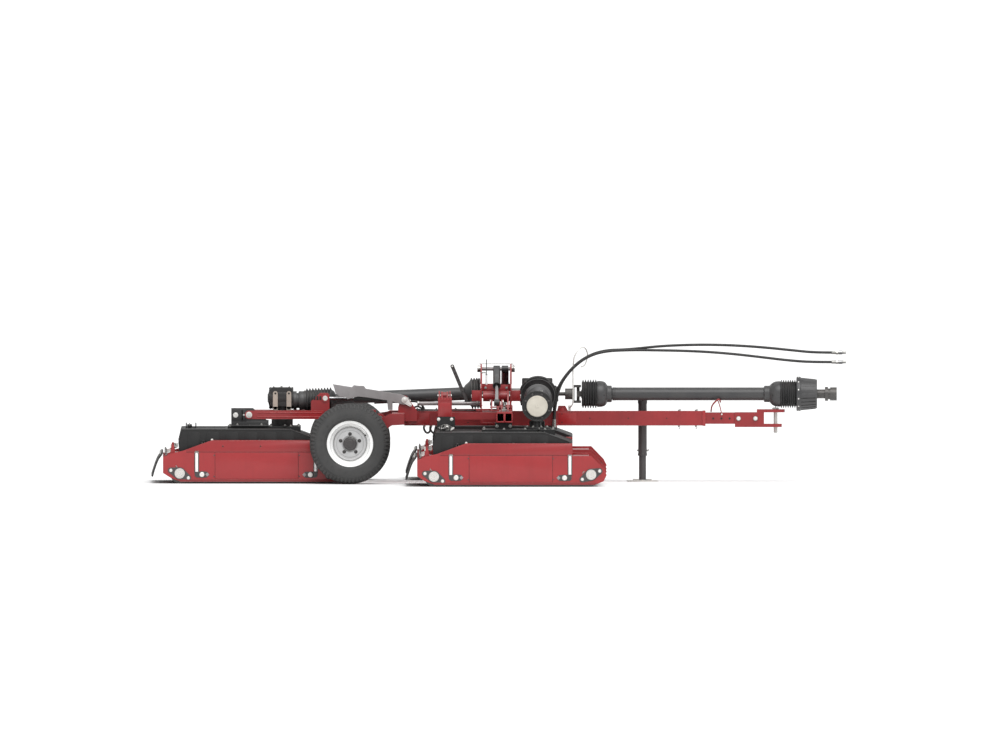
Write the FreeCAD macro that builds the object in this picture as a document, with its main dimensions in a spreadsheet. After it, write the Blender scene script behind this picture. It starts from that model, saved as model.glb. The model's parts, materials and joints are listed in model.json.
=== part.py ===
import FreeCAD, Part
import Sketcher
import math
import os

# Pull-behind rotary mower: a wheeled centre frame with a drawbar, one rear
# centre deck on a lifting arm and two front wing decks on folding arms.
# Row frame: +X forward (towards the hitch), +Y left, +Z up, ground at Z = 0,
# origin on the ground at the middle of the machine.  All sizes in millimetres.

V = FreeCAD.Vector
doc = FreeCAD.newDocument("rotary_mower")
sheet = doc.addObject("Spreadsheet::Sheet", "Dims")
sheet.Label = "Dims"


class Q:
    """A size that carries its value and the sheet expression it comes from."""

    def __init__(self, v, e):
        self.v = float(v)
        self.e = e

    def _mix(self, other, op, rev=False):
        if isinstance(other, Q):
            ov, oe = other.v, other.e
        else:
            ov, oe = float(other), "%.6g" % float(other)
            if float(other) < 0:
                oe = "(%s)" % oe
        a, b, ea, eb = (ov, self.v, oe, self.e) if rev else (self.v, ov, self.e, oe)
        r = {"+": a + b, "-": a - b, "*": a * b}.get(op)
        if op == "/":
            r = a / b
        return Q(r, "(%s %s %s)" % (ea, op, eb))

    def __add__(self, o):
        return self._mix(o, "+")

    def __radd__(self, o):
        return self._mix(o, "+", True)

    def __sub__(self, o):
        return self._mix(o, "-")

    def __rsub__(self, o):
        return self._mix(o, "-", True)

    def __mul__(self, o):
        return self._mix(o, "*")

    def __rmul__(self, o):
        return self._mix(o, "*", True)

    def __truediv__(self, o):
        return self._mix(o, "/")

    def __neg__(self):
        return self._mix(-1, "*")


def val(q):
    return q.v if isinstance(q, Q) else float(q)


ROW = [0]
D = {}


def dim(alias, value, note):
    ROW[0] += 1
    sheet.set("A%d" % ROW[0], note)
    sheet.set("B%d" % ROW[0], "%.6g" % value)
    sheet.setAlias("B%d" % ROW[0], alias)
    D[alias] = Q(value, "Dims.%s" % alias)
    return D[alias]


# ---- driving dimensions -------------------------------------------------
wheel_x = dim("wheel_x", -1051, "wheel axle, X")
tyre_rad = dim("tyre_rad", 295, "tyre outer radius")
tyre_w = dim("tyre_w", 266, "tyre width")
wheel_y = dim("wheel_y", 820, "wheel centre, Y")
rim_rad = dim("rim_rad", 150, "rim barrel radius")
flange_rad = dim("flange_rad", 169, "rim flange radius")
stub_rad = dim("stub_rad", 25, "stub axle radius")
run_gap = dim("run_gap", 0.06, "running clearance on pins and shafts")

deck_len = dim("deck_len", 1387, "deck side plate length")
deck_half = dim("deck_half", 637, "deck half width over side plates")
plate_t = dim("plate_t", 8, "deck side plate thickness")
cap_t = dim("cap_t", 8, "roller bearing cap thickness")
roof_z = dim("roof_z", 205, "underside of the cutting chamber roof")
band_z = dim("band_z", 227, "fold line of the side plate")
plate_top = dim("plate_top", 316, "top edge of the side plate")
skid_z = dim("skid_z", 12, "underside of the side skids")
cover_z = dim("cover_z", 392, "top of the belt cover")
bridge_z = dim("bridge_z", 410, "top of the bridge plate")
roller_rx = dim("roller_rx", -572, "rear roller, deck local X")
roller_fx = dim("roller_fx", 576, "front roller, deck local X")
roller_rz = dim("roller_rz", 74, "rear roller axis height")
roller_fz = dim("roller_fz", 88, "front roller axis height")
roller_rad = dim("roller_rad", 71, "roller radius")
blade_rad = dim("blade_rad", 315, "blade tip radius")
blade_z = dim("blade_z", 58, "blade underside height")
spin_dx = dim("spin_dx", 115, "spindle offset along X")
spin_dy = dim("spin_dy", 300, "spindle offset along Y")

wing_x = dim("wing_x", 133, "wing deck centre, X")
wing_y = dim("wing_y", 1205, "wing deck centre, Y")
rear_x = dim("rear_x", -1722, "rear deck centre, X")

fold_y = dim("fold_y", 240, "wing fold axis, Y")
fold_z = dim("fold_z", 630, "wing fold axis, Z")
beam_half = dim("beam_half", 55, "main beam half width")
beam_bot = dim("beam_bot", 412, "main beam underside")
beam_top = dim("beam_top", 518, "main beam top")
wall = dim("wall", 8, "beam wall")
tower_r = dim("tower_r", -98, "rear tower plate, rear face X")
tower_f = dim("tower_f", 128, "front tower plate, front face X")
tower_top = dim("tower_top", 862, "tower top")
bar_z = dim("bar_z", 825, "lift cylinder base bar, Z")
bar_rad = dim("bar_rad", 13.5, "lift cylinder base bar radius")
lift_y = dim("lift_y", 640, "wing cylinder rod eye, Y")
lift_z = dim("lift_z", 590, "wing cylinder rod eye, Z")
arm_top = dim("arm_top", 529, "wing arm top")
arm_bot = dim("arm_bot", 462, "wing arm underside")

pivot_x = dim("pivot_x", -832, "rear arm pivot, X")
pivot_z = dim("pivot_z", 466, "rear arm pivot, Z")
rarm_top = dim("rarm_top", 524, "rear arm top")
rarm_bot = dim("rarm_bot", 463, "rear arm underside")
rcyl_y = dim("rcyl_y", -160, "rear cylinder, Y")
rcyl_fx = dim("rcyl_fx", -651, "rear cylinder frame pin, X")
rcyl_fz = dim("rcyl_fz", 602, "rear cylinder frame pin, Z")
rcyl_ax = dim("rcyl_ax", -1232, "rear cylinder arm pin, X")
rcyl_az = dim("rcyl_az", 614, "rear cylinder arm pin, Z")

drive_fx = dim("drive_fx", -117, "rear driveline front joint, X")
drive_fz = dim("drive_fz", 648, "rear driveline front joint, Z")
drive_rx = dim("drive_rx", -1416, "rear driveline rear joint, X")
drive_rz = dim("drive_rz", 594, "rear driveline rear joint, Z")
box_x = dim("box_x", 321, "splitter gearbox centre, X")
pto_z = dim("pto_z", 642, "power take-off shaft axis, Z")
pto_end = dim("pto_end", 2502, "tractor end of the power take-off shaft, X")

draw_end = dim("draw_end", 1539, "outer drawbar front end, X")
inner_end = dim("inner_end", 1963, "inner drawbar front end, X")
hitch_x = dim("hitch_x", 2055, "hitch pin, X")
hitch_rad = dim("hitch_rad", 14, "hitch pin radius")
jack_x = dim("jack_x", 1084, "jack, X")
jack_y = dim("jack_y", 105, "jack, Y")
hose_rad = dim("hose_rad", 9.5, "hydraulic hose radius")
doc.recompute()

# ---- builders -----------------------------------------------------------
COUNT = [0]
NODES = []


def nm(stem):
    COUNT[0] += 1
    return "%s_%03d" % (stem, COUNT[0])


def bind(obj, path, q):
    if isinstance(q, Q):
        obj.setExpression(path, q.e)


ROT = {
    "X": FreeCAD.Rotation(V(0, 1, 0), 90),
    "Y": FreeCAD.Rotation(V(1, 0, 0), -90),
    "Z": FreeCAD.Rotation(),
}


def seat(obj, x, y, z, rot=None):
    obj.Placement = FreeCAD.Placement(V(val(x), val(y), val(z)), rot or FreeCAD.Rotation())
    bind(obj, "Placement.Base.x", x)
    bind(obj, "Placement.Base.y", y)
    bind(obj, "Placement.Base.z", z)
    return obj


def span(a, b):
    return (a, b) if val(a) <= val(b) else (b, a)


def box(x0, x1, y0, y1, z0, z1):
    (x0, x1), (y0, y1), (z0, z1) = span(x0, x1), span(y0, y1), span(z0, z1)
    o = doc.addObject("Part::Box", nm("box"))
    for prop, q in (("Length", x1 - x0), ("Width", y1 - y0), ("Height", z1 - z0)):
        setattr(o, prop, val(q))
        bind(o, prop, q)
    return seat(o, x0, y0, z0)


def axial(kind, axis, a0, a1, c1, c2, rads):
    flip = val(a0) > val(a1)
    if flip:
        a0, a1 = a1, a0
        rads = rads[::-1]
    o = doc.addObject(kind, nm(kind.split("::")[1].lower()))
    if kind == "Part::Cylinder":
        o.Radius = val(rads[0])
        bind(o, "Radius", rads[0])
    else:
        o.Radius1 = val(rads[0])
        o.Radius2 = val(rads[1])
        bind(o, "Radius1", rads[0])
        bind(o, "Radius2", rads[1])
    o.Height = val(a1 - a0)
    bind(o, "Height", a1 - a0)
    p = {"X": (a0, c1, c2), "Y": (c1, a0, c2), "Z": (c1, c2, a0)}[axis]
    return seat(o, p[0], p[1], p[2], ROT[axis])


def cyl(axis, rad, a0, a1, c1, c2):
    """Round bar along an axis from a0 to a1; c1, c2 are the other two coordinates."""
    return axial("Part::Cylinder", axis, a0, a1, c1, c2, [rad])


def cone(axis, rad0, rad1, a0, a1, c1, c2):
    return axial("Part::Cone", axis, a0, a1, c1, c2, [rad0, rad1])


def plane_of(body, role):
    return [f for f in body.Origin.OriginFeatures if f.Role == role][0]


def outline(sk, pts):
    """A closed polygon, each corner held by its distance from the sketch's origin."""
    n = len(pts)
    for i in range(n):
        a, b = pts[i], pts[(i + 1) % n]
        sk.addGeometry(Part.LineSegment(V(val(a[0]), val(a[1]), 0), V(val(b[0]), val(b[1]), 0)), False)
    for i in range(n):
        sk.addConstraint(Sketcher.Constraint("Coincident", i, 2, (i + 1) % n, 1))
    for i, (px, py) in enumerate(pts):
        for kind, q, ax in (("DistanceX", px, -2), ("DistanceY", py, -1)):
            if abs(val(q)) < 1e-6:
                sk.addConstraint(Sketcher.Constraint("PointOnObject", i, 1, ax))
            else:
                k = sk.addConstraint(Sketcher.Constraint(kind, -1, 1, i, 1, val(q)))
                bind(sk, "Constraints[%d]" % k, q)


def prism(plane, pts, t0, t1):
    """A plate: polygon in plane XY, XZ or YZ, reaching from t0 to t1 along the third axis."""
    t0, t1 = span(t0, t1)
    b = doc.addObject("PartDesign::Body", nm("plate"))
    sk = b.newObject("Sketcher::SketchObject", nm("profile"))
    sk.AttachmentSupport = [(plane_of(b, plane + "_Plane"), "")]
    sk.MapMode = "FlatFace"
    off = -t1 if plane == "XZ" else t0
    sk.AttachmentOffset = FreeCAD.Placement(V(0, 0, val(off)), FreeCAD.Rotation())
    bind(sk, "AttachmentOffset.Base.z", off)
    outline(sk, pts)
    pad = b.newObject("PartDesign::Pad", nm("pad"))
    pad.Profile = sk
    pad.Length = val(t1 - t0)
    bind(pad, "Length", t1 - t0)
    b.Tip = pad
    return b


def turned(axis, pts, x, y, z, flip=False):
    """A turned piece: (radius, distance along the axis) polygon revolved about the axis."""
    b = doc.addObject("PartDesign::Body", nm("turned"))
    sk = b.newObject("Sketcher::SketchObject", nm("profile"))
    sk.AttachmentSupport = [(plane_of(b, "XZ_Plane"), "")]
    sk.MapMode = "FlatFace"
    outline(sk, [(r, -a if flip else a) for r, a in pts])
    rev = b.newObject("PartDesign::Revolution", nm("revolution"))
    rev.Profile = sk
    rev.ReferenceAxis = (sk, ["V_Axis"])
    rev.Angle = 360
    b.Tip = rev
    seat(b, x, y, z, ROT[axis])
    return b


def fuse(*parts):
    parts = [p for p in parts if p is not None]
    if len(parts) == 1:
        return parts[0]
    o = doc.addObject("Part::MultiFuse", nm("fuse"))
    o.Shapes = list(parts)
    return o


def cut(base, *tools):
    o = doc.addObject("Part::Cut", nm("cut"))
    o.Base = base
    o.Tool = fuse(*tools)
    return o


def node(label, *parts):
    o = fuse(*parts)
    o.Label = label
    NODES.append(o)
    return o


def raw(label, shape):
    o = doc.addObject("Part::Feature", nm("path"))
    o.Shape = shape
    if label:
        o.Label = label
        NODES.append(o)
    return o


def tube(x0, x1, y0, y1, z0, z1, t, along):
    """A rectangular tube with wall t, open at both ends of its long axis."""
    g = 1
    inner = {
        "X": (x0 - g, x1 + g, y0 + t, y1 - t, z0 + t, z1 - t),
        "Y": (x0 + t, x1 - t, y0 - g, y1 + g, z0 + t, z1 - t),
        "Z": (x0 + t, x1 - t, y0 + t, y1 - t, z0 - g, z1 + g),
    }[along]
    return cut(box(x0, x1, y0, y1, z0, z1), box(*inner))


def bent(points, rad, label=None, report=False, fixed=None):
    """A round rod or hose along straight runs joined by tangent arcs."""
    P = [V(*[val(c) for c in p]) for p in points]
    edges = []
    start = P[0]
    radii = []
    for i in range(1, len(P) - 1):
        u = (P[i] - P[i - 1])
        w = (P[i + 1] - P[i])
        lu, lw = u.Length, w.Length
        u.normalize()
        w.normalize()
        turn = math.acos(max(-1, min(1, u.dot(w))))
        back = 0.45 * min(lu, lw)
        if fixed:
            back = min(back, fixed * math.tan(turn / 2))
        radii.append(back / math.tan(turn / 2))
        a = P[i] - u * back
        b = P[i] + w * back
        m = (w - u)
        m.normalize()
        r = back / math.tan(turn / 2)
        c = P[i] + m * math.hypot(r, back)
        mid = c - m * r
        edges.append(Part.LineSegment(start, a).toShape())
        edges.append(Part.Arc(a, mid, b).toShape())
        start = b
    edges.append(Part.LineSegment(start, P[-1]).toShape())
    wire = Part.Wire(edges)
    d = P[1] - P[0]
    ring = Part.Wire([Part.Circle(P[0], d, val(rad)).toShape()])
    shp = wire.makePipeShell([ring], True, True)
    if report:
        length = wire.Length
        print("%s length %.0f mm, radii %s, turn radius least %.0f, volume ratio %.4f" % (
            label, length, [round(x) for x in radii], min(radii),
            shp.Volume / (math.pi * val(rad) ** 2 * length)))
    return raw(label, shp)


# ---- one mowing deck ----------------------------------------------------
def deck(tag, xc, yc, s):
    """Open-bottomed deck: side plates, roof, skirts, rollers, blades, cover, flap."""
    def X(q):
        return xc + q

    def Y(q):
        return yc + s * q

    side = [(X(-694), 77), (X(-694), 191), (X(-637), 219), (X(-550), 239), (X(-339), plate_top),
            (X(440), plate_top), (X(440), band_z - 2), (X(577), band_z - 2), (X(667), 132),
            (X(690), 86), (X(667), 40), (X(600), skid_z), (X(-560), skid_z), (X(-640), 43)]
    shell = []
    for k in (1, -1):
        shell.append(prism("XZ", side, Y(k * (deck_half - plate_t)), Y(k * deck_half)))
        shell.append(box(X(-560), X(600), Y(k * (deck_half - plate_t - 4)), Y(k * (deck_half + 4)), skid_z, skid_z + 16))
        # bearing caps of the rollers
        shell.append(cyl("Y", 37, Y(k * deck_half), Y(k * (deck_half + cap_t)), X(roller_rx), roller_rz))
        shell.append(cyl("Y", 37, Y(k * deck_half), Y(k * (deck_half + cap_t)), X(roller_fx), roller_fz))
    inner = deck_half - plate_t
    # roof, front and rear skirts, flap rail
    shell.append(box(X(-600), X(560), Y(-inner), Y(inner), roof_z, roof_z + 6))
    shell.append(box(X(-486), X(-480), Y(-inner), Y(inner), 30, roof_z))
    shell.append(box(X(486), X(492), Y(-inner), Y(inner), 100, roof_z))
    shell.append(box(X(-694), X(-600), Y(-inner), Y(inner), roof_z - 14, roof_z - 8))
    shell.append(box(X(-606), X(-600), Y(-inner), Y(inner), roof_z - 14, roof_z + 6))
    # spindle housings under the roof
    for k in (1, -1):
        shell.append(cut(cone("Z", 58, 80, 150, roof_z, X(k * spin_dx), Y(k * spin_dy)),
                         cyl("Z", 30 + run_gap, 149, 202, X(k * spin_dx), Y(k * spin_dy))))
    bores = []
    for k in (1, -1):
        for rx, rz in ((roller_rx, roller_rz), (roller_fx, roller_fz)):
            bores.append(cyl("Y", 15 + run_gap, Y(k * (inner - 1)), Y(k * (deck_half + cap_t - 3)), X(rx), rz))
    node(tag + "_deck_shell", cut(fuse(*shell), *bores))

    # belt cover: closed box over the belts, open below onto the roof
    out = [(X(-570), roof_z + 7), (X(-578), 300), (X(-556), cover_z), (X(236), cover_z),
           (X(436), 318), (X(436), roof_z + 7)]
    inn = [(X(-566), roof_z + 6), (X(-574), 300), (X(-553), cover_z - 4), (X(235), cover_z - 4),
           (X(432), 315), (X(432), roof_z + 6)]
    cover = cut(prism("XZ", out, Y(-575), Y(575)), prism("XZ", inn, Y(-571), Y(571)))
    bridge = box(X(-221), X(312), Y(-230), Y(230), cover_z - 2, bridge_z)
    slope = prism("XZ", [(X(236), cover_z - 2), (X(312), cover_z - 2), (X(312), 372), (X(236), 388)], Y(-230), Y(230))
    cradle = fuse(box(X(-528), X(-450), Y(-35), Y(35), cover_z - 2, cover_z + 8),
                  box(X(-528), X(-520), Y(-35), Y(35), cover_z + 8, cover_z + 40),
                  box(X(-458), X(-450), Y(-35), Y(35), cover_z + 8, cover_z + 40))
    extra = []
    if tag != "rear":
        # mount block under the arm, rear foot plate, swivel and ball in the cradle
        extra = [box(8, 132, s * 1140, s * 1270, bridge_z - 2, arm_bot - 6), box(-416, -285, s * 1158, s * 1168, 415, 497),
                 box(-409, -300, s * 1120, s * 1158, 484, 493), cyl("Z", 14, 430, 484, -350, s * 1140),
                 box(-396, -304, s * 1125, s * 1155, 418, 430), box(-372, -340, s * 1150, s * 1225, 430, 442),
                 turned("Z", [(0, -16), (14, -15), (23, -6), (23, 6), (14, 16), (0, 17)], -356, s * 1205, 419)]
    node(tag + "_belt_cover", cover, bridge, slope, cradle, *extra)

    # rear rubber flap, bowed to the rear
    flap = [(X(-696), roof_z + 40), (X(-704), roof_z - 4), (X(-728), 150), (X(-752), 100), (X(-780), 50),
            (X(-773), 46), (X(-745), 96), (X(-721), 146), (X(-696), roof_z - 15)]
    node(tag + "_rear_flap", prism("XZ", flap, Y(-inner + 2), Y(inner - 2)))

    # rollers: drum with stub shafts
    for name, rx, rz in (("rear", roller_rx, roller_rz), ("front", roller_fx, roller_fz)):
        drum = cut(cyl("Y", roller_rad, Y(-inner + 8), Y(inner - 8), X(rx), rz),
                   cyl("Y", roller_rad - 8, Y(-inner + 16), Y(inner - 16), X(rx), rz))
        stub = fuse(cyl("Y", 15, Y(-deck_half - cap_t + 4), Y(-inner + 17), X(rx), rz),
                    cyl("Y", 15, Y(inner - 17), Y(deck_half + cap_t - 4), X(rx), rz))
        node("%s_roller_%s" % (tag, name), drum, stub)

    # blades: bar with lifted tips, hub and spindle shaft
    for name, k in (("front", 1), ("rear", -1)):
        bx, by = X(k * spin_dx), Y(k * spin_dy)
        bar = box(bx - blade_rad * 0.985, bx + blade_rad * 0.985, by - 42, by + 42, blade_z, blade_z + 10)
        wing1 = prism("XZ", [(bx + 200, blade_z + 10), (bx + 300, blade_z + 10), (bx + 300, blade_z + 34)], by - 42, by - 36)
        wing2 = prism("XZ", [(bx - 200, blade_z + 10), (bx - 300, blade_z + 10), (bx - 300, blade_z + 34)], by + 36, by + 42)
        hub = fuse(cyl("Z", 55, blade_z + 8, blade_z + 30, bx, by), cyl("Z", 30, blade_z + 30, 200, bx, by),
                   cyl("Z", 22, blade_z - 12, blade_z + 2, bx, by))
        node("%s_blade_%s" % (tag, name), bar, wing1, wing2, hub)


deck("right", wing_x, -wing_y, -1)
deck("left", wing_x, wing_y, 1)
deck("rear", rear_x, Q(0, "0"), 1)


# ---- folding wing arms and what rides on them ---------------------------
def wing(tag, s):
    def Y(q):
        return s * q

    # twin tube arm, open at its outer end
    parts = [cut(box(20, 74, Y(285), Y(1320), arm_bot, arm_top), box(25, 69, Y(295), Y(1330), arm_bot + 5, arm_top - 5)),
             cut(box(79, 133, Y(285), Y(1320), arm_bot, arm_top), box(84, 128, Y(295), Y(1330), arm_bot + 5, arm_top - 5)),
             box(20, 133, Y(1100), Y(1300), arm_bot - 6, arm_bot),
             box(20, 133, Y(285), Y(420), arm_bot - 6, arm_bot),
             box(20, 133, Y(285), Y(420), arm_top, arm_top + 6),
             box(20, 133, Y(1120), Y(1290), arm_top, arm_top + 8)]
    # hinge lugs and barrel at the tower
    lug = [(Y(fold_y - 38), fold_z - 22), (Y(fold_y - 38), fold_z + 22), (Y(fold_y - 18), fold_z + 42),
           (Y(fold_y + 18), fold_z + 42), (Y(330), fold_z + 8), (Y(420), arm_top + 4), (Y(420), arm_top - 4), (Y(288), arm_top - 6),
           (Y(288), fold_z - 95), (Y(fold_y + 5), fold_z - 45), (Y(fold_y - 18), fold_z - 42)]
    for x0 in (24, 96):
        parts.append(prism("YZ", lug, x0, x0 + 12))
    parts.append(cyl("X", 38, -80, 110, Y(fold_y), fold_z))
    # rear tube of the arm with its own hinge lugs and barrel
    parts += [cut(box(-390, -330, Y(292), Y(1150), 500, 560), box(-385, -335, Y(300), Y(1160), 505, 555))]
    lug2 = [(Y(fold_y - 30), fold_z - 20), (Y(fold_y - 30), fold_z + 20), (Y(fold_y - 15), fold_z + 34), (Y(fold_y + 15), fold_z + 34),
            (Y(320), fold_z), (Y(400), 560), (Y(400), 550), (Y(294), 550), (Y(294), fold_z - 60), (Y(fold_y), fold_z - 34)]
    for x0 in (-386, -346):
        parts.append(prism("YZ", lug2, x0, x0 + 12))
    parts.append(cyl("X", 30, -388, -332, Y(fold_y), fold_z))
    # tie between the tubes and its gussets
    parts.append(tube(-332, 22, *sorted([s * 640, s * 700]), 468, 520, 5, "X"))
    parts.append(box(-390, -330, Y(640), Y(700), 468, 502))
    # end bracket of the rear tube and its foot, seated in the deck's cradle
    parts.append(box(-409, -307, Y(1150), Y(1158), 493, 639))
    parts.append(box(-409, -307, Y(1100), Y(1158), 493, 501))
    # cylinder lugs
    cx = 20 if s < 0 else 80
    plate = [(Y(lift_y - 55), arm_top + 8), (Y(lift_y + 55), arm_top + 8), (Y(lift_y + 28), lift_z + 22),
             (Y(lift_y - 28), lift_z + 22)]
    parts.append(box(-30, 133, Y(lift_y - 60), Y(lift_y + 60), arm_top, arm_top + 8))
    for x0 in (cx - 42, cx + 32):
        parts.append(prism("YZ", plate, x0, x0 + 10))
    parts.append(cyl("X", 22, cx - 50, cx - 42, Y(lift_y), lift_z))
    parts.append(cyl("X", 22, cx + 42, cx + 50, Y(lift_y), lift_z))
    arm = fuse(*parts)
    node(tag + "_wing_arm", cut(arm, cyl("X", 15 + run_gap, -390, -330, Y(fold_y), fold_z),
                                cyl("X", 15 + run_gap, -82, 112, Y(fold_y), fold_z)))

    # right-angle gearbox on the deck, its flange and end cover
    gx = wing_x + 182
    gb = [cyl("Z", 92, bridge_z, bridge_z + 14, gx, Y(wing_y)),
          cyl("Z", 44, bridge_z + 14, 520, gx, Y(wing_y)),
          cyl("Y", 106, Y(1170), Y(1262), gx, 577),
          cyl("Y", 77, Y(1262), Y(1276), gx, 577),
          cyl("Y", 60, Y(1130), Y(1170), gx, 577)]
    # cross driveline: guarded shaft from the fold axis out to the gearbox
    ax = (1125 - 240, 577 - 630)
    tilt = math.degrees(math.atan2(-ax[1], ax[0]))
    reach = math.hypot(*ax)
    rot = FreeCAD.Rotation(V(1, 0, 0), -90 * s) .multiply(FreeCAD.Rotation())
    # local +Z runs outboard from the joint centre, dipping by the tilt
    rot = FreeCAD.Rotation(V(0, 0, 1), V(0, s * math.cos(math.radians(tilt)), -math.sin(math.radians(tilt))))

    def along(pts):
        b = doc.addObject("PartDesign::Body", nm("turned"))
        sk = b.newObject("Sketcher::SketchObject", nm("profile"))
        sk.AttachmentSupport = [(plane_of(b, "XZ_Plane"), "")]
        sk.MapMode = "FlatFace"
        outline(sk, pts)
        rev = b.newObject("PartDesign::Revolution", nm("revolution"))
        rev.Profile = sk
        rev.ReferenceAxis = (sk, ["V_Axis"])
        rev.Angle = 360
        b.Tip = rev
        seat(b, box_x, Y(fold_y), fold_z, rot)
        return b

    guard = along([(96, 150), (101, 150), (101, 190), (88, 240), (62, 262), (47, 268), (47, reach - 150), (62, reach - 142),
                   (84, reach - 120), (84, reach - 42), (60, reach - 34), (60, reach - 38), (80, reach - 45), (80, reach - 118),
                   (60, reach - 137), (43, reach - 146), (43, 263), (59, 258), (84, 237), (96, 188)])
    node(tag + "_cross_guard", guard)
    shaft = along([(0, 62), (26, 62), (26, 84), (20, 90), (20, reach), (0, reach)])
    yoke = [box(-22, 22, 36, 50, -24, 64), box(-22, 22, -50, -36, -24, 64), box(-26, 26, -50, 50, 60, 76)]
    for y in yoke:
        base = y.Placement.Base
        y.Placement = FreeCAD.Placement(V(0, 0, 0), rot).multiply(FreeCAD.Placement(base, FreeCAD.Rotation()))
        y.Placement.Base = V(val(box_x), val(Y(fold_y)), val(fold_z)) + rot.multVec(base)
    cross = fuse(cyl("X", 10, box_x - 34, box_x + 34, Y(fold_y), fold_z),
                 cyl("Z", 10, fold_z - 37, fold_z + 37, box_x, Y(fold_y)))
    node(tag + "_gearbox", *gb, shaft, *yoke, cross)

    # lift cylinder: base on the tower's bar, rod eye between the arm's lugs
    dy, dz = val(lift_y), val(lift_z) - val(bar_z)
    length = math.hypot(dy, dz)
    crot = FreeCAD.Rotation(V(0, 0, 1), V(0, s * dy / length, dz / length))

    def placed(obj, at):
        obj.Placement = FreeCAD.Placement(V(cx, 0, val(bar_z)) + crot.multVec(V(0, 0, at)), crot)
        return obj

    def rod_cyl(rad, a0, a1):
        o = doc.addObject("Part::Cylinder", nm("cylinder"))
        o.Radius = rad
        o.Height = a1 - a0
        return placed(o, a0)

    barrel = fuse(cut(rod_cyl(27, 20, 345), rod_cyl(20, 26, 350)), cut(rod_cyl(29, 320, 345), rod_cyl(20, 310, 350)), cyl("X", 24, cx - 24, cx + 24, 0, bar_z))
    barrel = cut(barrel, cyl("X", bar_rad + run_gap, cx - 30, cx + 30, 0, bar_z), rod_cyl(14.6, 300, 350))
    node(tag + "_lift_barrel", barrel)
    rod = cut(fuse(rod_cyl(14, 339, length - 10), cyl("X", 24, cx - 20, cx + 20, Y(lift_y), lift_z)),
              cyl("X", 13, cx - 22, cx + 22, Y(lift_y), lift_z))
    node(tag + "_lift_rod", rod)


wing("right", -1)
wing("left", 1)


# ---- centre frame -------------------------------------------------------
# main beam with the outer drawbar, tubular, open in front for the inner drawbar
beam = [cut(box(-655, draw_end, -beam_half, beam_half, beam_bot, beam_top),
            box(-647, draw_end + 1, -beam_half + wall, beam_half - wall, beam_bot + wall, beam_top - wall))]
beam.append(prism("XZ", [(460, beam_top), (540, beam_top), (520, beam_top + 38), (470, beam_top + 38)], -30, 30))
# rear fold-pin bracket
for k in (1, -1):
    beam.append(tube(-392, -328, *([beam_half, Q(280, "280")] if k > 0 else [Q(-280, "-280"), -beam_half]), 428, 490, 6, "Y"))
    post = [(k * 205, 428), (k * 282, 428), (k * 282, 610), (k * 262, 668), (k * 218, 668), (k * 205, 610)]
    beam.append(prism("YZ", post, -404, -394))
    beam.append(prism("YZ", post, -326, -316))
    beam.append(cyl("X", 15, -412, -308, k * fold_y, fold_z))
beam.append(bent([(1584, -20, 514), (1590, -62, 560), (1640, -66, 610), (1652, -52, 588), (1652, 0, 580), (1652, 52, 588), (1640, 66, 610),
                  (1590, 62, 560), (1584, 20, 514)], 5))
beam += [box(420, 460, -116, -beam_half, 384, 400), cyl("Z", 12, 400, 415, 437, -78), cyl("Z", 12, 400, 415, 441, -101),
         box(420, 460, -62, -beam_half, 400, 430)]
node("main_beam", *beam)

node("inner_drawbar", cut(box(1240, inner_end, -42, 42, 424, 507), box(1230, inner_end + 10, -36, 36, 430, 501)))

# hitch clevis: end plate, upper and lower lugs with a bored eye, side bolts
lower = prism("XY", [(1758, -50), (2070, -50), (2096, -28), (2102, 0), (2096, 28), (2070, 50), (1758, 50)], 401, 424)
upper = prism("XY", [(1918, -50), (2085, -50), (2116, -28), (2123, 0), (2116, 28), (2085, 50), (1918, 50)], 508, 530)
endp = prism("YZ", [(-45, 424), (45, 424), (45, 508), (-45, 508)], inner_end, inner_end + 8)
cheeks = fuse(box(1758, 1971, -50, -42, 424, 508), box(1758, 1971, 42, 50, 424, 508))
heads = []
for bx in (1785, 1908):
    heads += [cyl("Y", 17, -60, -46, bx, 464), cyl("Y", 17, 46, 60, bx, 464)]
clevis = cut(fuse(lower, upper, endp, cheeks, *heads), cyl("Z", hitch_rad + 1, 390, 550, hitch_x, 0))
pin = turned("Z", [(0, 357), (hitch_rad - 3, 357), (hitch_rad, 362), (hitch_rad, 532), (26, 532), (26, 538), (0, 538)], hitch_x, 0, 0)
node("hitch_clevis", clevis, pin)

# axle beam with wheel legs, stub axles, rear pivot plates and cylinder bracket
axle = [cut(box(-745, -655, -678, 678, 430, 510), box(-737, -663, -670, 670, 438, 502))]
for k in (1, -1):
    leg = [(-660, 510), (-760, 510), (-1095, 345), (-1095, 250), (-1010, 250), (-745, 425), (-660, 430)]
    axle.append(prism("XZ", leg, k * 660, k * 678))
    axle.append(cyl("Y", stub_rad, k * 678, k * 860, wheel_x, tyre_rad))
    axle.append(cyl("Y", 42, k * 678, k * 684, wheel_x, tyre_rad))
    axle.append(prism("XZ", [(-745, 422), (-700, 422), (-700, 518), (-745, 518), (-860, 500), (-874, 480), (-874, 450), (-860, 432)],
                      k * 58, k * 70))
    axle.append(box(-700, -655, k * 58, k * 70, 422, 518))
    # struts to the beam
    axle.append(box(-655, -560, k * beam_half, k * 66, 440, 517))
axle.append(cyl("Y", 20, -205, 205, pivot_x, pivot_z))
for y0 in (-196, -134):
    axle.append(prism("XZ", [(-700, 505), (-700, 545), (-680, 620), (-660, 634), (-636, 630), (-610, 590), (-560, 520), (-560, 446), (-655, 446), (-655, 505)],
                      y0, y0 + 10))
axle.append(box(-655, -560, -196, -beam_half, 446, 456))
axle.append(cyl("Y", 15, -222, -98, rcyl_fx, rcyl_fz))
node("axle_frame", *axle)

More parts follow.
